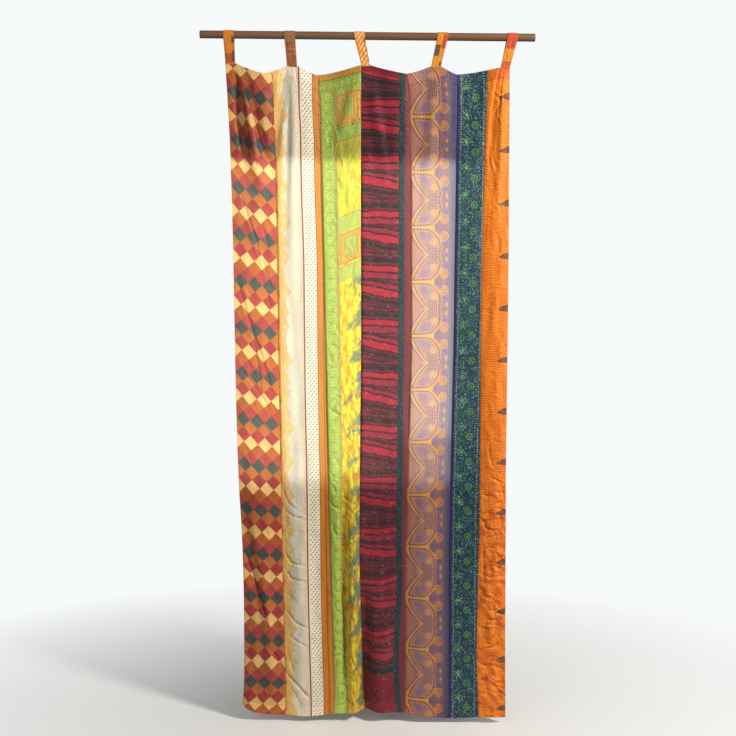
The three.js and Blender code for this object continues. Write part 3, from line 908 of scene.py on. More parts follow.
def uneven(a, b, size_a, size_b, seed, detail=1.0):
    """Smooth noise from about -1 to 1, whose patches are about size_a by size_b."""
    place = vector_of(a.tree, a / size_a, b / size_b, seed)
    noise = add(a.tree, "TexNoise", {"Vector": place, "Scale": 1.0, "Detail": detail})
    return Num(a.tree, noise.outputs["Fac"]).math("MULTIPLY_ADD", 4.0, -2.0)


def speckled(a, b, size, seed):
    """How far the nearest of a scatter of points is, in shares of their mean distance."""
    place = vector_of(a.tree, a / size, b / size, seed)
    return Num(a.tree, add(a.tree, "TexVoronoi", {"Vector": place, "Scale": 1.0}).outputs["Distance"])


def each(a, b):
    """A number from 0 to 1 that is another one for each pair of whole numbers."""
    node = add(a.tree, "TexWhiteNoise", {"Vector": vector_of(a.tree, a, b)}, noise_dimensions="2D")
    return Num(a.tree, node.outputs["Value"])


def mixed(tree, base, top, mask, way="MIX"):
    """The base colour with the top colour laid over it where the mask is 1."""
    return add(tree, "Mix", {0: mask, 6: base, 7: top}, data_type="RGBA", blend_type=way).outputs[2]


def shaded(colour, amount):
    """The colour made brighter or darker by amount, which is 1 for no change."""
    tree = amount.tree
    return mixed(tree, colour, vector_of(tree, amount, amount, amount), 1.0, "MULTIPLY")


def steps_of(share, codes):
    """One of the colours in turn as share runs from 0 to 1."""
    ramp = add(share.tree, "ValToRGB", {0: share})
    stops = ramp.color_ramp
    stops.interpolation = "CONSTANT"
    while len(stops.elements) < len(codes):
        stops.elements.new(1.0)
    for i, code in enumerate(codes):
        stops.elements[i].position = i / len(codes)
        stops.elements[i].color = colour_of(code)
    return ramp.outputs[0]


PER_METRE = 1000.0


class Cloth:
    """A cloth as its print sees it, in millimetres: s across it and v down it from the left seam and from
    the rod, depth under its top edge, rise over its hem and right from its right edge. colour is what has
    been laid on it so far."""

    def __init__(self, tree):
        self.tree = tree
        place = add(tree, "UVMap", uv_map="cloth")
        edges = add(tree, "Attribute", attribute_name="edges")
        self.s, self.v = (part * PER_METRE for part in parts_of(tree, place, 2))
        self.depth, self.rise, self.right = (
            part * PER_METRE for part in parts_of(tree, edges.outputs["Vector"], 3)
        )
        self.colour = None

    def mix(self, base, top, mask):
        """A mix of two colours, for use in a print."""
        return mixed(self.tree, base, top, mask)

    def start(self, base, top, mask):
        """Makes the ground: the base colour, with the top one where the mask is 1."""
        self.colour = self.mix(base, top, mask)

    def lay(self, top, mask):
        """Lays a colour over what is there, where the mask is 1."""
        self.colour = self.mix(self.colour, top, mask)

    def shade(self, amount):
        """Makes the colour brighter or darker, with 1 for no change."""
        self.colour = shaded(self.colour, amount)


# The prints, each laid on the cloth that it is given
def print_diamond(c):
    """A lattice of diamonds in rows of one colour, six colours in turn: with p = v / height + s / width
    and q = v / height - s / width, each diamond is a unit square of (p, q), and its row is the sum of
    their whole parts."""
    s, v, lay = c.s, c.v, c.lay
    wide, tall, first = 52.8, 56.4, 281
    bent_s = s + uneven(s, v, 38, 38, 1) * 0.9
    bent_v = v - first + uneven(s, v, 42, 42, 2) * 0.9
    p = bent_v / tall + bent_s / wide + 0.5
    q = bent_v / tall - bent_s / wide + 0.5
    m, n = p.math("FLOOR"), q.math("FLOOR")
    turn = ((m + n) / 6 + 1 / 12).math("FRACT")
    c.colour = steps_of(turn, ["efc077", "b8602e", "b0443f", "474f49", "bd6b35", "a83c3a"])
    blotch = uneven(s, v, 16, 16, 3, 2)
    own = each(m, n) * 0.16 + blotch * 0.045 + 0.92
    in_p, in_q = p - m - 0.5, q - n - 0.5
    edge = greater(abs(in_p), abs(in_q)).above(0.49, 0.03)
    lay("7c3426", edge * 0.35)
    lay("b8606a", (blotch * 0.5 - 0.1).clipped() * 0.35)
    sheen_run = (in_p + in_q) * 0.10 + 1
    c.shade(own * sheen_run)


def teeth(v, period, seed, lean):
    """Pointed teeth down an edge: each rises over the lean share of its length and falls over the rest,
    from 0 to 1, and has its own height."""
    turn = v / period + seed
    t = turn.math("FRACT")
    tooth = lesser(t / lean, (t * -1 + 1) / (1 - lean))
    return tooth * (each(turn.math("FLOOR"), seed) * 0.4 + 0.6)


def print_cream(c):
    """Cream cloth with a toothed gold border along its left seam, a thin red line, a band of dashes and
    an orange band."""
    s, v, lay = c.s, c.v, c.lay
    fray = uneven(s, v, 6, 4, 3, 2)
    wander = uneven(v, s, 70, 200, 4)
    lobes = greater(
        teeth(v, 127, 0.32, 0.55) * 44, teeth(v, 127, 0.86, 0.72) * 34,
        teeth(v, 50, 0.10, 0.75) * 22, teeth(v, 41, 0.65, 0.25) * 16,
    )
    pale_edge = lobes + wander * 2 + fray * 1.3 + 12
    gold_edge = greater(teeth(v, 127, 0.62, 0.7) * 14, teeth(v, 42, 0.3, 0.3) * 9) + fray * 0.9 + 13
    red_edge = greater(teeth(v, 98, 0.1, 0.6) * 17 - 6, teeth(v, 31, 0.5, 0.3) * 5) + fray * 0.8
    cloudy = uneven(s, v, 40, 120, 5) * 0.5 + 0.5
    c.start("e5dcc6", "ddcfb2", cloudy)
    lay("c9974f", (s - pale_edge).within(1, 1.4) * 0.6)
    lay("e6bb6c", s.under(pale_edge, 1.6))
    inner = (s - pale_edge * 0.62 - 2).within(0.9, 1.2) * s.under(pale_edge, 1.6)
    lay("cf9c4e", inner * 0.6)
    flame = uneven(s + v * 0.5, v - s * 0.6, 7, 26, 3.5, 2)
    lay("f0d2a0", s.under(pale_edge - 4, 3) * (flame * 0.7 + 0.2).clipped() * 0.7)
    lay("dba858", s.under(gold_edge, 1.8) * 0.8)
    lay("b3682c", (s - gold_edge).within(0.7, 1.2) * 0.5)
    lay("c4622a", s.under(red_edge, 1.6) * 0.85)
    lay("e2c6a8", s.between(84, 97, 8) * 0.6)

    line = (s - 98.5).within(2.5, 0.8)
    lay("822f16", line)
    band = s.between(102, 146, 0.8)
    lay("f0e7d0", band)
    dashes = None
    for middle, shift in ((112, 0), (119, 9.5), (126, 0), (133, 9.5), (140, 0)):
        a = s - middle
        b = (v + shift + a * 0.75).wrapped(19)
        dash = lesser(a.within(3.2, 1), b.within(1.6, 1))
        dashes = dash if dashes is None else greater(dashes, dash)
    lay("2c2722", dashes * 0.95)
    for middle in (105.5, 143.5):
        tick = lesser((s - middle).within(1.2, 0.8), (v + middle).wrapped(9.5).within(1.8, 0.9))
        lay("a9542f", tick * 0.75)
    ribbon = s.above(146.5, 0.8)
    lay("cf7c1c", ribbon)
    weft = v.wrapped(5).within(0.9, 0.8) * (fray * 0.5 + 0.4).clipped()
    lay("a35417", weft * ribbon * 0.5)
    rim = greater((s - 147.6).within(1.5, 0.8), (s - 168.6).within(1.5, 0.8))
    lay("77351a", rim * 0.85)


def rings(a, b, pitch, inner, outer):
    """Small rings in a row, one each pitch down b, with a dot in each."""
    away = distance(a, b.wrapped(pitch))
    return greater((away - (inner + outer) / 2).within((outer - inner) / 2, 0.9), away.within(1.4, 0.9))


def gold_panel(lay, a, b, pale):
    """A nest of gold frames round a green middle with a gold spot: the largest of the distances past the
    middle's sides counts the frames. The middle is twice as tall as wide, and the seam cuts the frames
    off at the right. a and b are the places across and down from the middle."""
    past = greater(a * -1 - 18, a * 0.55 - 11, b * -1 - 30, (b - 30) * 0.8)
    frames = past.between(0, 20.5, 1)
    lay("cf9a34", frames)
    lay("e1bf62", past.wrapped(6.6).within(1.1, 1) * frames * 0.8)
    lay("a5701f", (past + 3.3).wrapped(6.6).within(0.8, 0.8) * frames * 0.55)
    lay(pale, past.under(0, 1))
    spot = distance(a, b)
    lay("d7a93a", spot.under(6.5, 2) * 0.9)
    lay("b06f35", (past - 21).within(1.6, 1) * 0.8)


def print_yellow(c):
    """Yellow cloth with a lime border down its left side and gold and lime bands along its top, two gold
    panels, and blue-green marks towards its right seam."""
    s, v, depth, lay = c.s, c.v - 20, c.depth, c.lay
    stain = uneven(s, v, 15, 48, 6, 2)
    turning = v.above(1250, 900) * 0.55
    c.start("e6d733", "cf9024", (stain * 1.2 + turning - 0.02).clipped())
    greener = (uneven(s, v + s, 22, 46, 37, 2) * 0.9 + 0.45).clipped()
    lay("b7c94c", greener * v.under(760, 160) * 0.75)
    low = v.above(880, 50)

    # Marks that run up to the right, in tufts
    ragged = uneven(s * 0.8 + v * 0.6, v * 0.8 - s * 0.6, 5, 22, 8, 3)
    tufts = (v + s * 0.9).wrapped(127)
    patches = uneven(s, v, 34, 40, 9)
    marks = (ragged + patches * 0.8 + (s - 96) * 0.022 - abs(tufts) * 0.022 + 0.25).above(0.25, 0.45)
    lay("5b7d62", marks * low * s.above(60, 8) * 0.9)
    specks = (speckled(s, v, 5.5, 10) * -1).above(-0.24, 0.10)
    lay("5d7d3c", specks * low * (patches + 0.4).clipped() * 0.6)
    gold_lines = uneven(s * 0.9 + v * 0.45, v * 0.9 - s * 0.45, 3.4, 36, 11).above(0.85, 0.5)
    lay("b98a25", gold_lines * 0.5)

    # The head of the panel
    shade_of_green = uneven(s, v, 26, 26, 12) * 0.5 + 0.5
    under_band = v.between(372, 440, 30)
    lay("a9a83c", under_band * 0.8)
    lay("a8b951", v.under(374, 1.5))
    gold_panel(lay, s - 102, v - 260, "9fb44c")
    green = v.between(328, 372, 1.5)
    lay("9db54c", green)
    lay("bfc860", lesser(green, rings(v - 350, s, 24, 6.5, 8.5)) * 0.5)
    for line_v in (326, 374):
        lay("b3712c", (v - line_v).within(1.9, 1) * 0.85)
    for low_v, high_v in ((652, 712), (835, 888)):
        block = v.between(low_v, high_v, 2)
        lay("aebf58", block * 0.9)
        lay("c9cc62", lesser(block, rings(v - (low_v + high_v) / 2, s, 24, 6.5, 8.5)) * 0.5)
        lay("b87b3f", (v - low_v).within(1.5, 1) * 0.7)
    gold_panel(lay, s - 102, v - 768, "a9bd55")

    # The lime border
    column = s.under(58, 0.8)
    column_shade = shade_of_green * 0.10 + 0.95
    lay(shaded(c.mix("b4cf55", "a0bf48", 0.3), column_shade), column)
    column_marks = greater(rings(s - 30, v, 40, 12.5, 14.5), rings(s - 30, v, 40, 6, 7.4))
    sprays = (s.sine(11) * (v + s * 0.8).sine(12)).above(0.35, 0.4)
    lay("7f9330", column * sprays * 0.4)
    shadow = (distance(s - 30, v.wrapped(40)) - 17).within(1.4, 1.2)
    lay("74892c", column * shadow * 0.5)
    lay("d3da6a", column * column_marks * 0.8)
    line = (s - 54.5).within(3.2, 0.8)
    lay("b49a56", line)
    rims = greater((s - 50.8).within(0.7, 0.6), (s - 58.2).within(0.7, 0.6))
    lay("90703a", rims * 0.8)
    lay("b79152", s.under(6, 1))
    lay("94763c", (s - 6.8).within(0.7, 0.6) * 0.7)

    # The bands along the top
    lime_head = depth.between(26, 66, 1)
    lay(shaded("9bb04a", column_shade), lime_head * s.above(6, 1))
    head_marks = greater(rings(depth - 46, s, 22, 6, 8), rings(depth - 46, s, 22, 2.6, 3.6))
    lay("ced25e", lime_head * head_marks * 0.75)
    lay("6f7f2a", lime_head * (depth - 31).within(2.2, 1.6) * 0.5)
    gold_head = depth.under(22, 1)
    lay("c48f30", gold_head)
    lay("945f1e", gold_head * depth.wrapped(5.2).within(0.9, 0.9) * 0.6)
    lay("5d5526", (depth - 24).within(1.7, 1) * 0.85)


# Stripes in one repeat of the striped cloth: drop at the left and right, half thickness at the left
# and right, in millimetres
DARK_STRIPES = [
    (0, 1, 7.8, 8.4), (17, 18.5, 2.4, 2.6), (40, 45, 2.8, 2.9), (67, 71, 2.6, 1.6), (69, 91, 3.2, 2.6),
    (71, 81, 3.6, 0.4), (86, 112, 2.8, 2.8), (118, 143, 2.7, 2.8), (134, 157, 6.8, 7.4), (149, 171, 2.4, 1.8),
    (184, 186, 2.5, 2.6),
]
BRIGHT_STRIPES = [(28, 31, 9, 11), (102, 127, 13, 12)]
MIDDLE_STRIPES = [(53, 57, 10, 10), (78, 101, 6, 9)]
STRIPE_REPEAT = 197


def striped(v, across, table, blur):
    """Where the stripes of a table lie: each band's middle and thickness run evenly from left to
    right."""
    found = None
    for left, right, half_left, half_right in table:
        middle = across * (right - left) + left
        half = across * (half_right - half_left) + half_left
        stripe = abs((v - middle).wrapped(STRIPE_REPEAT)).under(half, blur)
        found = stripe if found is None else greater(found, stripe)
    return found


def print_stripe(c):
    """Dark red cloth with wavy dark stripes, and along its right side a dark green band and a wine-red
    one."""
    s, v, lay = c.s, c.v, c.lay
    wave = uneven(s, v, 46, 60, 12, 1) * 3.6 + uneven(s, v, 14, 14, 13, 1) * 1.5
    sag = (s - 62) * (s - 62) * (v.above(1750, 700) * -0.0026)
    bent = v - 208 + wave - sag
    across = s / 138
    threads = uneven(s, v, 30, 1.6, 14, 1)
    c.start("6f2733", "842f3e", (threads * 0.3 + 0.5).clipped())
    mottle = uneven(s, v, 9, 4, 18, 2)
    lay("9c2d40", striped(bent, across, MIDDLE_STRIPES, 3))
    lay("b92b3c", striped(bent, across, BRIGHT_STRIPES, 4))
    lay("5e1f2b", (mottle * 0.6 - 0.1).clipped() * 0.5)
    lay("4a1e28", striped(bent, across, DARK_STRIPES, 8) * 0.6)
    lay("2f2729", striped(bent, across, DARK_STRIPES, 1.8) * 0.95)
    lens_middle = (bent - (across * 14 + 164)).wrapped(STRIPE_REPEAT)
    lens_half = ((s - 70) / 62) * ((s - 70) / 62) * -5.2 + 5.2
    lay("322a2d", abs(lens_middle).under(lens_half, 1.2) * 0.94)
    lay("64202e", v.above(1450, 700) * 0.28)
    foot = v - sag * 0.3
    lay("26302f", (foot - 2351).within(11, 2))
    lay("7a1f2b", foot.above(2362, 2))
    lay("74242f", c.depth.under(24, 3) * 0.85)
    # Painted highlights: short pale strokes, slanting both ways, stand in for light glinting on the silk's
    # crinkles, in patches from about 430 mm down
    where = uneven(s, v, 50, 80, 16).above(-0.35, 0.6) * v.above(430, 60)
    for lean, seed in ((0.9, 15), (-0.8, 45)):
        turned_s, turned_v = s - v * lean, v + s * lean
        painted_glints = uneven(turned_s, turned_v, 2.8, 30, seed, 1).above(0.86, 0.2)
        lay("d59aa4", painted_glints * where * 0.75)
    green = s.above(138.5, 1)
    lay("213032", green)
    flecks = uneven(s + v, v, 3.4, 4.4, 17, 2).above(0.45, 0.5)
    lay("62807f", flecks * green * 0.7)
    wine = s.above(160, 1)
    lay("702636", wine)
    lay("8d4a5c", wine * distance((s - 163).wrapped(3.6), v.wrapped(3.6)).under(0.9, 0.7) * 0.7)
    lay("5c3a58", (s - 171).within(1.2, 0.8) * 0.8)


def petals(a, b, radius, count, depth):
    """Where a flower with rounded petals lies: its edge is radius + depth * sine of count turns."""
    turn = a.math("ARCTAN2", b)
    edge = (turn * count).math("SINE") * depth + radius
    return distance(a, b).under(edge, 1.4)


def print_leaf(c):
    """Mauve cloth with large dotted leaves that open in pairs from a stem, mirrored up and down in each
    repeat. With h the distance from the stem and g the distance from the middle between two stems, a leaf
    lies right of the line s = 4 + 51 * (h / 90) ^ 1.7, left of the line s = 124 - 58 * (1 - h / 98) ^ 2.6
    - 14 * (h / 98) ^ 2.2, and off the stem; its outlines and dots lie at fixed distances inside them."""
    s, v, lay = c.s, c.v, c.lay
    repeat, first = 197.5, 283
    h = abs((v - first).wrapped(repeat))
    g = h * -1 + repeat / 2
    fine = uneven(s, v, 3.2, 3.2, 18, 1)
    from_left = (s - (h / 90).math("POWER", 1.7) * 51 - 4) * 0.84
    swing = (h / -98 + 1).clipped()
    bulge = (h / 98).clipped().math("POWER", 2.2)
    from_right = (swing.math("POWER", 2.6) * -58 - bulge * 14 + 124 - s) * 0.86
    grow = (s / 85).clipped()
    stem_half = grow * grow * 4.5 + 2.8
    inward = lesser(lesser(from_left - 3.4, from_right), h - stem_half)
    leaf = inward.above(0, 1)

    # Right of the leaves: scrolls, ovals and small purple blooms
    c.start("8c5c54", "5f4a7c", (uneven(s, v, 13, 13, 19) * 0.6 + fine * 0.6 + 0.4).clipped())
    ca, ch = s - 123, h - 28
    away = distance(ca, ch)
    lay("c37f3a", away.under(11.5, 1.2))
    spiral = (away - ca.math("ARCTAN2", ch) * (6.2 / (2 * math.pi))).wrapped(6.2).within(1, 0.9)
    lay("6e3340", spiral * away.under(10, 1) * 0.9)
    rim = (distance(ca - 2, ch - 3) - 16).within(2.2, 1) * s.above(118, 3) * h.above(8, 2)
    lay("bf7b3e", rim)
    lay("7a3440", distance((s - 138) * 1.4, h - 7).under(4.5, 1.2))
    branch = from_right.between(-8.5, 0.5, 1) * h.under(50, 4) * s.above(74, 3)
    lay("cb8034", branch)
    oval = distance((s - 136) * 2, g - 16)
    lay("c4823a", oval.under(8.5, 1.2))
    lay("5b4388", petals(s - 131, g - 41, 6.5, 5, 2.2))
    lay("6a4c86", petals(s - 127, g, 6, 6, 2))
    edge_line = from_right.between(-2.6, 0.4, 1) * h.above(46, 4)
    lay("c07c40", edge_line * 0.85)

    # The feathers left of the leaves
    outside = from_left.under(-3, 1.2)
    lay(c.mix("6b3f58", "574282", (s * 0.026 - 0.1).clipped()), from_left.under(0, 1))
    finer = (g + s * 0.5).wrapped(9.5).within(1.3, 1) * 0.5
    barb = greater((g - s * 0.95).wrapped(9.5).within(2.6, 1.2), finer)
    barb_end = (from_left * -0.12 - 0.4).clipped()
    lay("cb7c40", barb * outside * barb_end)
    lay("b4643e", g.under(1.4, 1) * s.under(40, 3) * 0.8)

    # The leaves
    lay(c.mix("98675a", "70527c", (fine * 0.9 + 0.4).clipped()), leaf)
    near_middle = g.under(38, 8) * s.above(62, 8) * inward.above(7, 1)
    grid = distance(s.wrapped(7.6), h.wrapped(7.6)).under(2.3, 1)
    lay("5c3454", grid * near_middle * 0.85)
    grid = distance((s + 3.8).wrapped(7.6), (h + 3.8).wrapped(7.6)).under(1.8, 1)
    lay("cf8c4c", grid * near_middle * 0.9)
    ring = (inward - 9.2).within(1.5, 1) * h.under(86, 6)
    lay("cd8742", ring * 0.85)
    along = (s - 36) * 0.76 + (h - 15) * 0.65
    aside = (h - 15) * 0.76 - (s - 36) * 0.65
    core_half = ((along / 72).clipped().math("POWER", 0.75) * math.pi).math("SINE") * 13.5
    core_in = core_half - abs(aside)
    core = core_in.above(0, 1) * leaf
    lay(c.mix("573c80", "7c5680", (along * 0.016).clipped()), core)
    lay("b17c62", (core_in + 1.6).within(1.2, 0.9) * leaf * along.between(0, 74, 1) * 0.7)
    hatch = (along * 0.5 + abs(aside)).wrapped(6.4).within(1.1, 0.9)
    hatch = hatch * inward.above(8, 1) * (core_in + 3).under(0, 1)
    lay("cc8744", hatch * (near_middle * -1 + 1).clipped() * 0.75)
    veins = (along - abs(aside) * 1.2).wrapped(8).within(1.5, 1)
    lay("c58a60", veins * core * 0.85)
    side_line = from_left.between(-2.6, 3.6, 1) * from_right.above(-1, 1)
    line = greater(side_line, from_left.within(5, 1) * h.under(30, 6))
    lay("d68f36", line * s.above(0.8, 0.8))
    lay("b98466", inward.between(0.2, 6.6, 1.2) * 0.75)
    dots = distance(inward - 3.4, (h + s).wrapped(11.5) * 0.72).under(2.7, 1) * inward.above(0.2, 0.8)
    lay("4c1a30", dots)
    tie = greater((g - 4.2).within(1.8, 0.9), g.under(0.9, 0.9)) * s.between(49, 68, 1.5)
    lay("cd8440", tie)

    # A flower with many petals in each leaf
    fa, fh = s - 88, h - 54
    flower = petals(fa, fh, 10.5, 9, 6)
    lay("d2924a", flower)
    lay("74463f", (distance(fa, fh) - 5).within(0.8, 0.8) * 0.8)
    lay("d9a24e", distance(fa, fh).under(3.2, 1))

    # The stem, with a blue flower and a red one at its fork
    lay("d68f36", h.under(stem_half, 1) * s.under(90, 1) * s.above(1.5, 1))
    lay("7c5060", distance(s - 108, h * 1.2).under(15, 1.2))
    for middle_s, size, code in ((97, 6.2, "4b4284"), (117, 6, "7d4458")):
        bloom = petals(s - middle_s, h, size, 5, size * 0.28)
        lay(code, bloom)
        lay("b38b70", distance(s - middle_s, h).under(1.7, 0.9))
    edge = s.above(144, 0.8)
    lay("4d4455", edge)
    lay("6f6066", (s - 149).within(2, 0.8) * 0.8)
    lay("433a63", (s - 156).within(1.6, 0.8) * 0.8)
    lay("3b3068", s.above(161.5, 0.8))


def print_sprig(c):
    """Navy cloth with a purple edge, two rows of white dots, bright green flowers, paler leafy clusters
    between them and a scatter of small dots."""
    s, v, lay = c.s, c.v, c.lay
    dapple = uneven(s, v, 11, 11, 20, 2)
    c.start("182748", "17343a", (dapple * 0.9 + 0.5).clipped())
    leaves = uneven(s + v, s - v, 3, 7, 21, 1).above(0.3, 0.4)
    lay("2b5448", leaves * 0.6)
    ragged = uneven(s, v, 4.5, 4.5, 28, 1) * 2.4
    lay("5f8d92", speckled(s, v, 6.8, 22).under(0.30, 0.10) * 0.75)
    lay("96b8b0", speckled(s, v, 13, 26).under(0.15, 0.07) * 0.85)
    repeat = 94.7
    a, b = s - 67, (v - 310).wrapped(repeat)
    middle = distance(a, b) + ragged
    lay("1b3836", middle.under(17, 3) * 0.85)
    lay("367449", (middle - 9.5).within(3.4, 1.8) * (b.math("ARCTAN2", a) * 7).math("SINE").above(-0.4, 0.9))
    lay("86bf8a", (middle - 11.5).within(1, 1) * 0.4)
    lay("1c4234", middle.under(5.6, 1.2))
    lay("67a557", middle.under(2.6, 1))
    a, b = s - 35, (v - 368).wrapped(repeat)
    middle = distance(a, b) + ragged
    star = (a.math("ARCTAN2", b) * 3.5).math("SINE")
    spray = middle.under(star * star * 12 + 7, 2) * (speckled(s, v, 5.2, 31) * -1).above(-0.50, 0.14)
    lay("66a86c", spray * 0.9)
    lay("8fb874", middle.under(2.2, 1))
    lay("2f5f47", (middle - 11).within(0.8, 0.8) * 0.8)
    ring = (distance(s - 82, (v - 340).wrapped(repeat)) - 7).within(1.3, 1)
    lay("3f7c66", ring * 0.8)
    ring = (distance(s - 33, (v - 320).wrapped(repeat)) - 8).within(1.6, 1.2)
    lay("2c5f52", ring * 0.8)
    for middle_s in (15.5, 97):
        dot = distance(s - middle_s, v.wrapped(9)).under(1.9, 1.1)
        strength = uneven(v, s, 40, 200, 27) * 0.4 + 0.7
        lay("b4c0c0", (dot * strength * 0.9).clipped())
    lay("2d2757", s.under(8.5, 1))


def print_orange(c):
    """Orange cloth with fine broken lines across it, short ticks between them, and brown pointed leaves
    along its right edge."""
    s, v, lay = c.s, c.v, c.lay
    cloudy = uneven(s, v, 40, 90, 23, 2)
    c.start("f5891c", "e87613", (cloudy * 0.6 + 0.4).clipped())
    threads = uneven(s, v, 24, 1.5, 24, 1)
    c.shade(threads * 0.06 + 1)
    # Painted shade: brown-orange patches over the lower part stand in for the shade in its folds
    painted_fold_shade = (uneven(s, v - s * 0.4, 30, 34, 34, 2) * 1.3 + 0.3).clipped()
    lay("b24d10", painted_fold_shade * v.above(1550, 500) * 0.8)
    rising = v + s * 0.10 + uneven(s, v, 34, 60, 25) * 2.2
    broken = uneven(s, v, 5, 4.5, 26).above(-0.2, 0.7)
    lay("a8460f", rising.wrapped(9).within(1.2, 1.2) * broken * 0.85)
    upright = (s + uneven(s, v, 9, 7, 35) * 4).wrapped(9).within(0.9, 0.9)
    ticks = lesser(upright, (rising + 4.5).wrapped(9).within(2.8, 1.2))
    lay("b9521a", ticks * (uneven(s, v, 14, 14, 29) * 0.5 + 0.4).clipped() * 0.5)
    dots = distance(s.wrapped(17), (rising - 4).wrapped(18)).under(1.4, 0.9)
    lay("93400f", dots * 0.7)
    stem = c.right
    b = (v - 212 - stem * 0.10).wrapped(190)
    point = (stem / 39).clipped()
    half = (point * point * -1 + 1) * 12.5 + cloudy * 1.4
    leaf = lesser(abs(b).under(half, 1.4), stem.under(38.5, 1))
    lay("6f4a30", leaf * 0.94)
    hatch = (b + stem * 0.5).wrapped(4.4).within(0.8, 0.8)
    lay("55382a", leaf * hatch * 0.7)
    lay("b9480f", c.depth.under(40, 1.5) * 0.6)


def print_tab(c, ground, lines, patches):
    """A tab's cloth: a ground colour, fine lines across it as (colour, distance apart, slope), and a few
    soft-edged patches of another print, each (colour, middle across, middle down, half width, half
    length)."""
    s, v, lay = c.s, c.v, c.lay
    cloudy = uneven(s, v, 20, 30, 27, 2)
    c.colour = shaded(ground, cloudy * 0.05 + 1)
    for code, apart, slope in lines:
        bar = (v + s * slope).wrapped(apart).within(apart * 0.16, 1)
        lay(code, bar * (cloudy * 0.5 + 0.65).clipped())
    ragged = uneven(s, v, 6, 6, 28, 1) * 1.6
    for code, middle_s, middle_v, half_s, half_v in patches:
        inside = (s - middle_s + ragged).within(half_s, 2)
        lay(code, lesser(inside, (v - middle_v + ragged).within(half_v, 2)))


def new_group(name, inputs, outputs, formula):
    """A node group whose inputs, given with their usual values, and outputs are numbers. The formula
    makes the outputs from the inputs."""
    group = bpy.data.node_groups.new(name, "ShaderNodeTree")
    for key, value in inputs.items():
        group.interface.new_socket(key, in_out="INPUT", socket_type="NodeSocketFloat").default_value = value
    for key in outputs:
        group.interface.new_socket(key, in_out="OUTPUT", socket_type="NodeSocketFloat")
    put, out = group.nodes.new("NodeGroupInput"), group.nodes.new("NodeGroupOutput")
    for key, value in zip(outputs, formula(*(Num(group, put.outputs[name]) for name in inputs))):
        feed(group, out.inputs[key], value)
    return group


def weave(across, down, thread, slub):
    """Plain weave: warp threads are a sine across and weft threads one down, each on top where the other
    dips, with slubs, which are thicker weft threads. Height is in threads and Shade is near 1."""
    warp = (across / thread * math.pi).math("SINE")
    weft = (down / thread * math.pi).math("SINE")
    crossing = warp * weft
    slubs = uneven(across, down, 26, 0.9, 31, 2)
    streaks = uneven(across, down, 1.4, 60, 32, 1)
    height = abs(warp) * 0.35 + abs(weft) * 0.35 + crossing * 0.3 + slubs * slub
    return height, slubs * slub * 0.10 + streaks * 0.03 + 1


def stitches(along, away):
    """A row of stitches: dashes of thread 3 mm apart along a line, 0.8 mm wide, sunk at their ends."""
    dash = lesser(along.wrapped(3).within(1.15, 0.5), away.within(0.42, 0.3))
    hole = distance((along + 1.5).wrapped(3), away).under(0.55, 0.4)
    return dash, dash * 1.2 - hole * 1.5


def crinkle(across, down, width, length):
    """Small creases of a light cloth: ridges of noise, 1 - |noise|, as tall as wide or stretched either
    way, with finer ones on them."""
    coarse = abs(uneven(across / width, down / length, 1, 1, 61, 1)) * -1
    finer = abs(uneven(across / width, down / length, 0.45, 0.45, 62, 1)) * -0.4
    return [coarse + finer]


WEAVE = new_group("Weave", {"Across": 0, "Down": 0, "Thread": 0.6, "Slub": 0.5}, ("Height", "Shade"), weave)
STITCHES = new_group("Stitches", {"Along": 0, "Away": 1}, ("Mask", "Height"), stitches)
CRINKLE = new_group("Crinkle", {"Across": 0, "Down": 0, "Width": 10, "Length": 10}, ("Height",), crinkle)


def new_material(name):
    """A material and its node tree, still empty."""
    material = bpy.data.materials.new(name)
    material.use_nodes = True
    material.node_tree.nodes.clear()
    return material, material.node_tree


# The share of light that the cloth's inner half lets through, so that light from behind is seen from
# the front and doesn't bleach the back
BACK_SHEER = 0.95
# The weave's thread and how strong its slubs are, and the heights of threads and stitches in its bump
THREAD, SLUB = 0.55, 0.4
THREAD_HEIGHT, STITCH_HEIGHT = 0.05, 0.18


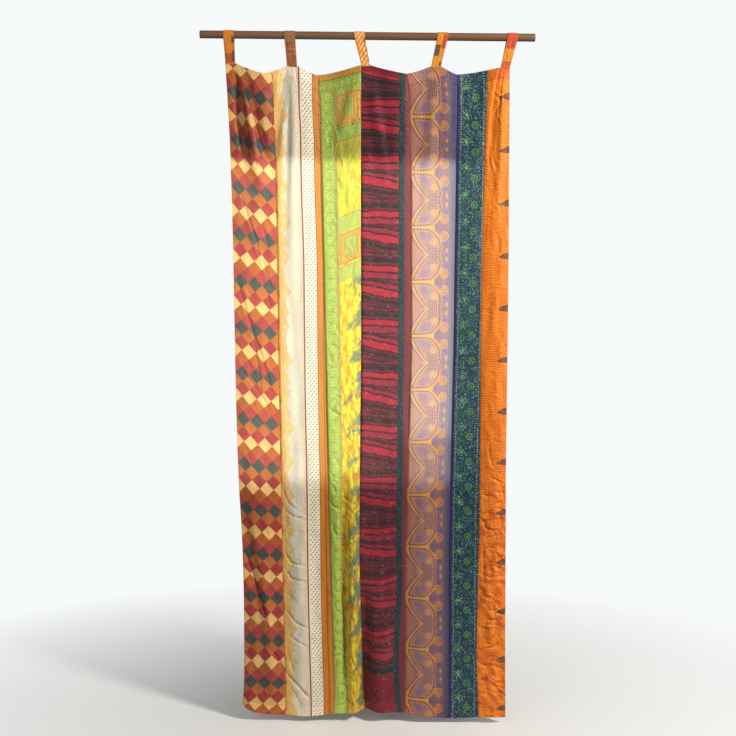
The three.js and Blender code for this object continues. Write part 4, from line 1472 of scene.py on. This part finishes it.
def cloth_material(name, how, stitch_code, paint, tab=()):
    """A cloth: its print, with the weave in its colour and bump, an uneven roughness, rows of stitches at the
    heading and the hem, a paler wrong side, and light that comes through, less where the cloth is double.
    A tab has its own table for its print, and its stitches along both sides."""
    material, tree = new_material(name)
    c = Cloth(tree)
    s, v = c.s, c.v
    paint(c, *tab)
    places = {"Across": s, "Down": v}
    threads = add(tree, "Group", {**places, "Thread": THREAD, "Slub": SLUB}, node_tree=WEAVE)
    wide, tall, crease_height = how.creases
    creases = add(tree, "Group", {**places, "Width": wide, "Length": tall}, node_tree=CRINKLE)
    c.shade(Num(tree, threads.outputs["Shade"]))
    height = Num(tree, threads.outputs["Height"]) * THREAD_HEIGHT
    height = height + Num(tree, creases.outputs["Height"]) * crease_height

    if tab:
        rows = [(v, c.right - TAB_STITCH_IN)]
    else:
        rows = [(s, c.depth - HEADING_DEPTH), (s, c.rise - FOOT_HEM_DEPTH)]
    for along, away in rows:
        row = add(tree, "Group", {"Along": along, "Away": away}, node_tree=STITCHES)
        c.lay(stitch_code, Num(tree, row.outputs["Mask"]) * 0.8)
        height = height + Num(tree, row.outputs["Height"]) * STITCH_HEIGHT
    wrong_side = Num(tree, add(tree, "Attribute", attribute_name="wrong_side").outputs["Fac"])
    c.lay("b9ad9c", wrong_side * 0.14)
    worn = uneven(s, v, 60, 90, 33, 2)
    c.shade(worn * 0.035 + how.gain)

    surface = add(tree, "BsdfPrincipled", {
        "Base Color": c.colour,
        "Roughness": worn * 0.05 + how.roughness,
        "Sheen Weight": how.sheen,
        "Sheen Roughness": 0.45,
        "Specular IOR Level": 0.35,
        "Normal": add(tree, "Bump", {"Strength": 0.9, "Distance": MM, "Height": height}),
    })
    if how.sheer:
        lighter = add(tree, "Gamma", {"Color": c.colour, "Gamma": how.through})
        double = greater(c.depth.under(HEADING_DEPTH, 1), c.rise.under(FOOT_HEM_DEPTH, 1))
        share = wrong_side * (BACK_SHEER - how.sheer) + how.sheer
        surface = add(tree, "MixShader", {
            0: share * (double * -0.5 + 1), 1: surface, 2: add(tree, "BsdfTranslucent", {"Color": lighter}),
        })
    add(tree, "OutputMaterial", {"Surface": surface})
    return material


def wood_material(name):
    """Brown wood: long grain along X from noise stretched along the rod, pores, lighter stains, and rings
    on the cut ends."""
    material, tree = new_material(name)
    place = add(tree, "TexCoord").outputs["Object"]
    x, y, z = (part * PER_METRE for part in parts_of(tree, place, 3))
    turn = y.math("ARCTAN2", z) * ROD_RADIUS
    grain = uneven(x + uneven(x, turn, 160, 12, 1) * 30, turn, 140, 3.2, 2, 4)
    pores = uneven(x, turn, 9, 0.8, 3, 1).above(1, 0.4)
    stain = uneven(x, turn, 260, 30, 4, 2)
    colour = mixed(tree, "7d5c43", "5f412c", (grain * 0.5 + 0.5).clipped())
    colour = mixed(tree, colour, "8f6c50", (stain * 0.5).clipped() * 0.5)
    colour = mixed(tree, colour, "3f2a1d", pores * 0.5)
    ring = (distance(y, z) + uneven(y, z, 8, 8, 5) * 0.8).wrapped(1.9).within(0.35, 0.5)
    end = abs(x).above(ROD_LENGTH / 2 - 0.6, 0.3)
    colour = mixed(tree, colour, mixed(tree, "a07a55", "7a5336", ring), end)
    shader = add(tree, "BsdfPrincipled", {
        "Base Color": colour,
        "Roughness": grain * 0.06 + 0.48,
        "Normal": add(tree, "Bump", {"Strength": 0.4, "Distance": MM, "Height": grain * 0.08 - pores * 0.15}),
    })
    add(tree, "OutputMaterial", {"Surface": shader})
    return material


def place_piece(piece, material, node):
    """Gives a piece its material, hangs it on the root body, and hides the CAD part that it replaces."""
    piece.data.materials.append(material)
    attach(piece, "root")
    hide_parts(node)


# A cloth's look. gain is its brightness, sheer the share of light that comes through and through the
# power its colour is raised to for that light. creases are the small ones' width, length and depth.
Look = namedtuple("Look", "gain roughness sheen sheer through creases")

# The strips' looks, stitch colours and prints
CLOTHS = {
    "strip_diamond": (Look(1.0, 0.50, 0.10, 0.30, 0.45, (22, 26, 0.9)), "6e3322", print_diamond),
    "strip_cream": (Look(1.0, 0.50, 0.10, 0.20, 0.30, (16, 22, 0.9)), "b8a27c", print_cream),
    "strip_yellow": (Look(1.0, 0.40, 0.12, 0.23, 0.36, (8, 12, 1.8)), "8d8a35", print_yellow),
    "strip_stripe": (Look(1.0, 0.42, 0.06, 0.25, 0.45, (16, 7, 1.2)), "4b1f26", print_stripe),
    "strip_leaf": (Look(0.88, 0.55, 0.06, 0.30, 0.22, (20, 30, 0.6)), "5e4350", print_leaf),
    "strip_sprig": (Look(0.95, 0.48, 0.04, 0.06, 0.30, (18, 20, 0.8)), "1a2a34", print_sprig),
    "strip_orange": (Look(1.05, 0.45, 0.04, 0.0, 0.80, (12, 5, 1.0)), "a24a18", print_orange),
}
for index, strip in enumerate(STRIPS):
    name = strip["name"]
    slot = name.replace("strip_", "cloth_")
    piece = strip_sheet(index)
    place_piece(piece, cloth_material(slot, *CLOTHS[name]), name)

# The tabs' prints: ground, lines and patches
TAB_PRINTS = [
    ("cf7a20", [], [("ae4e22", -2, 22, 30, 17), ("4d4434", 14, 30, 5, 20), ("54443a", 14, 86, 5, 12),
                    ("40383c", -8, 134, 12, 9)]),
    ("8f4d2a", [("b0703a", 5.5, 0.1)],
     [("94643c", 0, 118, 30, 30), ("b08a58", 0, 62, 30, 1.2), ("b08a58", 0, 45, 30, 1.2)]),
    ("dd8420", [("f6e2b8", 17.0, -1.2)],
     [("7c6a3a", 16, 92, 4, 9), ("7c6a3a", 16, 60, 3, 9), ("6f7040", 16, 26, 3, 11)]),
    ("d78426", [], [("bb4a28", 12, 92, 8, 26), ("534a2c", -8, 60, 9, 19), ("6d4a22", 13, 12, 5, 8),
                    ("b9882c", -4, 132, 14, 16)]),
    ("d48626", [], [("bf4a27", 0, 112, 30, 42), ("bd5a1e", 0, 10, 30, 16)]),
]
TAB_LOOK = Look(1.0, 0.48, 0.08, 0.0, 1.0, (8, 12, 0.8))
for index, (name, *_) in enumerate(TABS):
    piece = tab_sheet(index)
    slot = "cloth_tab_rust" if name == "tab_2" else "cloth_tab"
    material = cloth_material("cloth_" + name, TAB_LOOK, "8a4a1c", print_tab, TAB_PRINTS[index])
    place_piece(piece, material, name)

place_piece(rod_mesh(), wood_material("rod_wood"), "rod")

# Floor, light and background
FLOOR_DROP, FLOOR_RADIUS, FLOOR_SIDES = 2.556, 14.0, 96
FLOOR_COLOUR = (0.80, 0.80, 0.79, 1)
BACKGROUND = (0.93, 0.95, 0.955, 1)
WORLD_LIGHT, WORLD_STRENGTH = (1.0, 0.99, 0.97, 1), 0.22


def floor_material(name):
    """A pale, dull floor that fades out into the background away from the curtain."""
    material, tree = new_material(name)
    x, y = parts_of(tree, add(tree, "TexCoord").outputs["Object"], 2)
    dull = add(tree, "BsdfPrincipled", {"Base Color": FLOOR_COLOUR, "Roughness": 0.85})
    clear = add(tree, "BsdfTransparent")
    faded = add(tree, "MixShader", {0: distance(x * 0.8, y).above(1, 1.7), 1: dull, 2: clear})
    add(tree, "OutputMaterial", {"Surface": faded})
    return material


bpy.ops.mesh.primitive_circle_add(
    vertices=FLOOR_SIDES, radius=FLOOR_RADIUS, fill_type="NGON", location=(0, 0, -FLOOR_DROP),
)
floor = bpy.context.active_object
floor.name = "floor"
floor.data.materials.append(floor_material("floor_pale"))
floor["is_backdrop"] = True


def soft_light(name, place, aim, size, watts, colour):
    """A rectangular light at a place, turned towards a point."""
    data = bpy.data.lights.new(name, "AREA")
    data.shape = "RECTANGLE"
    data.size, data.size_y = size
    data.energy = watts
    data.color = colour
    light = new_object(name, data)
    way = Vector([end - start for end, start in zip(aim, place)])
    light.matrix_world = Matrix.Translation(place) @ way.to_track_quat("-Z", "Y").to_matrix().to_4x4()
    return light


soft_light("key", (3.2, -2.5, 1.15), (0, 0, -1.0), (0.7, 0.7), 272, (1.0, 0.95, 0.86))
soft_light("fill", (-2.6, -3.4, 0.2), (0, 0, -1.2), (2.4, 2.4), 26, (0.98, 0.98, 0.97))
# Three soft lights close behind the cloth: one behind the upper half, whose lit part begins sharply at its
# top edge, and two lower and weaker ones that carry it on at the left and right
BEHIND_COLOUR, BEHIND_SPREAD = (0.94, 1.0, 0.88), math.radians(66)
for name, place, aim_drop, size, watts in (
    ("behind_main", (-0.09, 0.075, -0.939), 0.943, (1.02, 1.003), 8.9),
    ("behind_low", (-0.25, 0.10, -1.53), 1.53, (0.70, 0.18), 1.0),
    ("behind_right", (0.25, 0.10, -1.53), 1.53, (0.34, 0.18), 0.24),
):
    panel = soft_light(name, place, (place[0], 0, -aim_drop), size, watts, BEHIND_COLOUR)
    panel.data.spread = BEHIND_SPREAD
    panel.visible_camera = False


def make_world():
    """A world that the camera sees as a pale background, and that lights the pieces softly from all
    round."""
    world = bpy.data.worlds.new("world")
    world.use_nodes = True
    tree = world.node_tree
    tree.nodes.clear()
    seen = add(tree, "Background", {"Color": BACKGROUND, "Strength": 1.0})
    lit = add(tree, "Background", {"Color": WORLD_LIGHT, "Strength": WORLD_STRENGTH})
    ray = add(tree, "LightPath").outputs["Is Camera Ray"]
    add(tree, "OutputWorld", {"Surface": add(tree, "MixShader", {0: ray, 1: lit, 2: seen})})
    return world


scene.world = make_world()
scene.view_settings.view_transform = "Standard"

visual_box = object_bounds()
plain = lambda box: [[round(float(v), 5) for v in corner] for corner in box]
{"cad": plain(cad_box), "visual": plain(visual_box)}
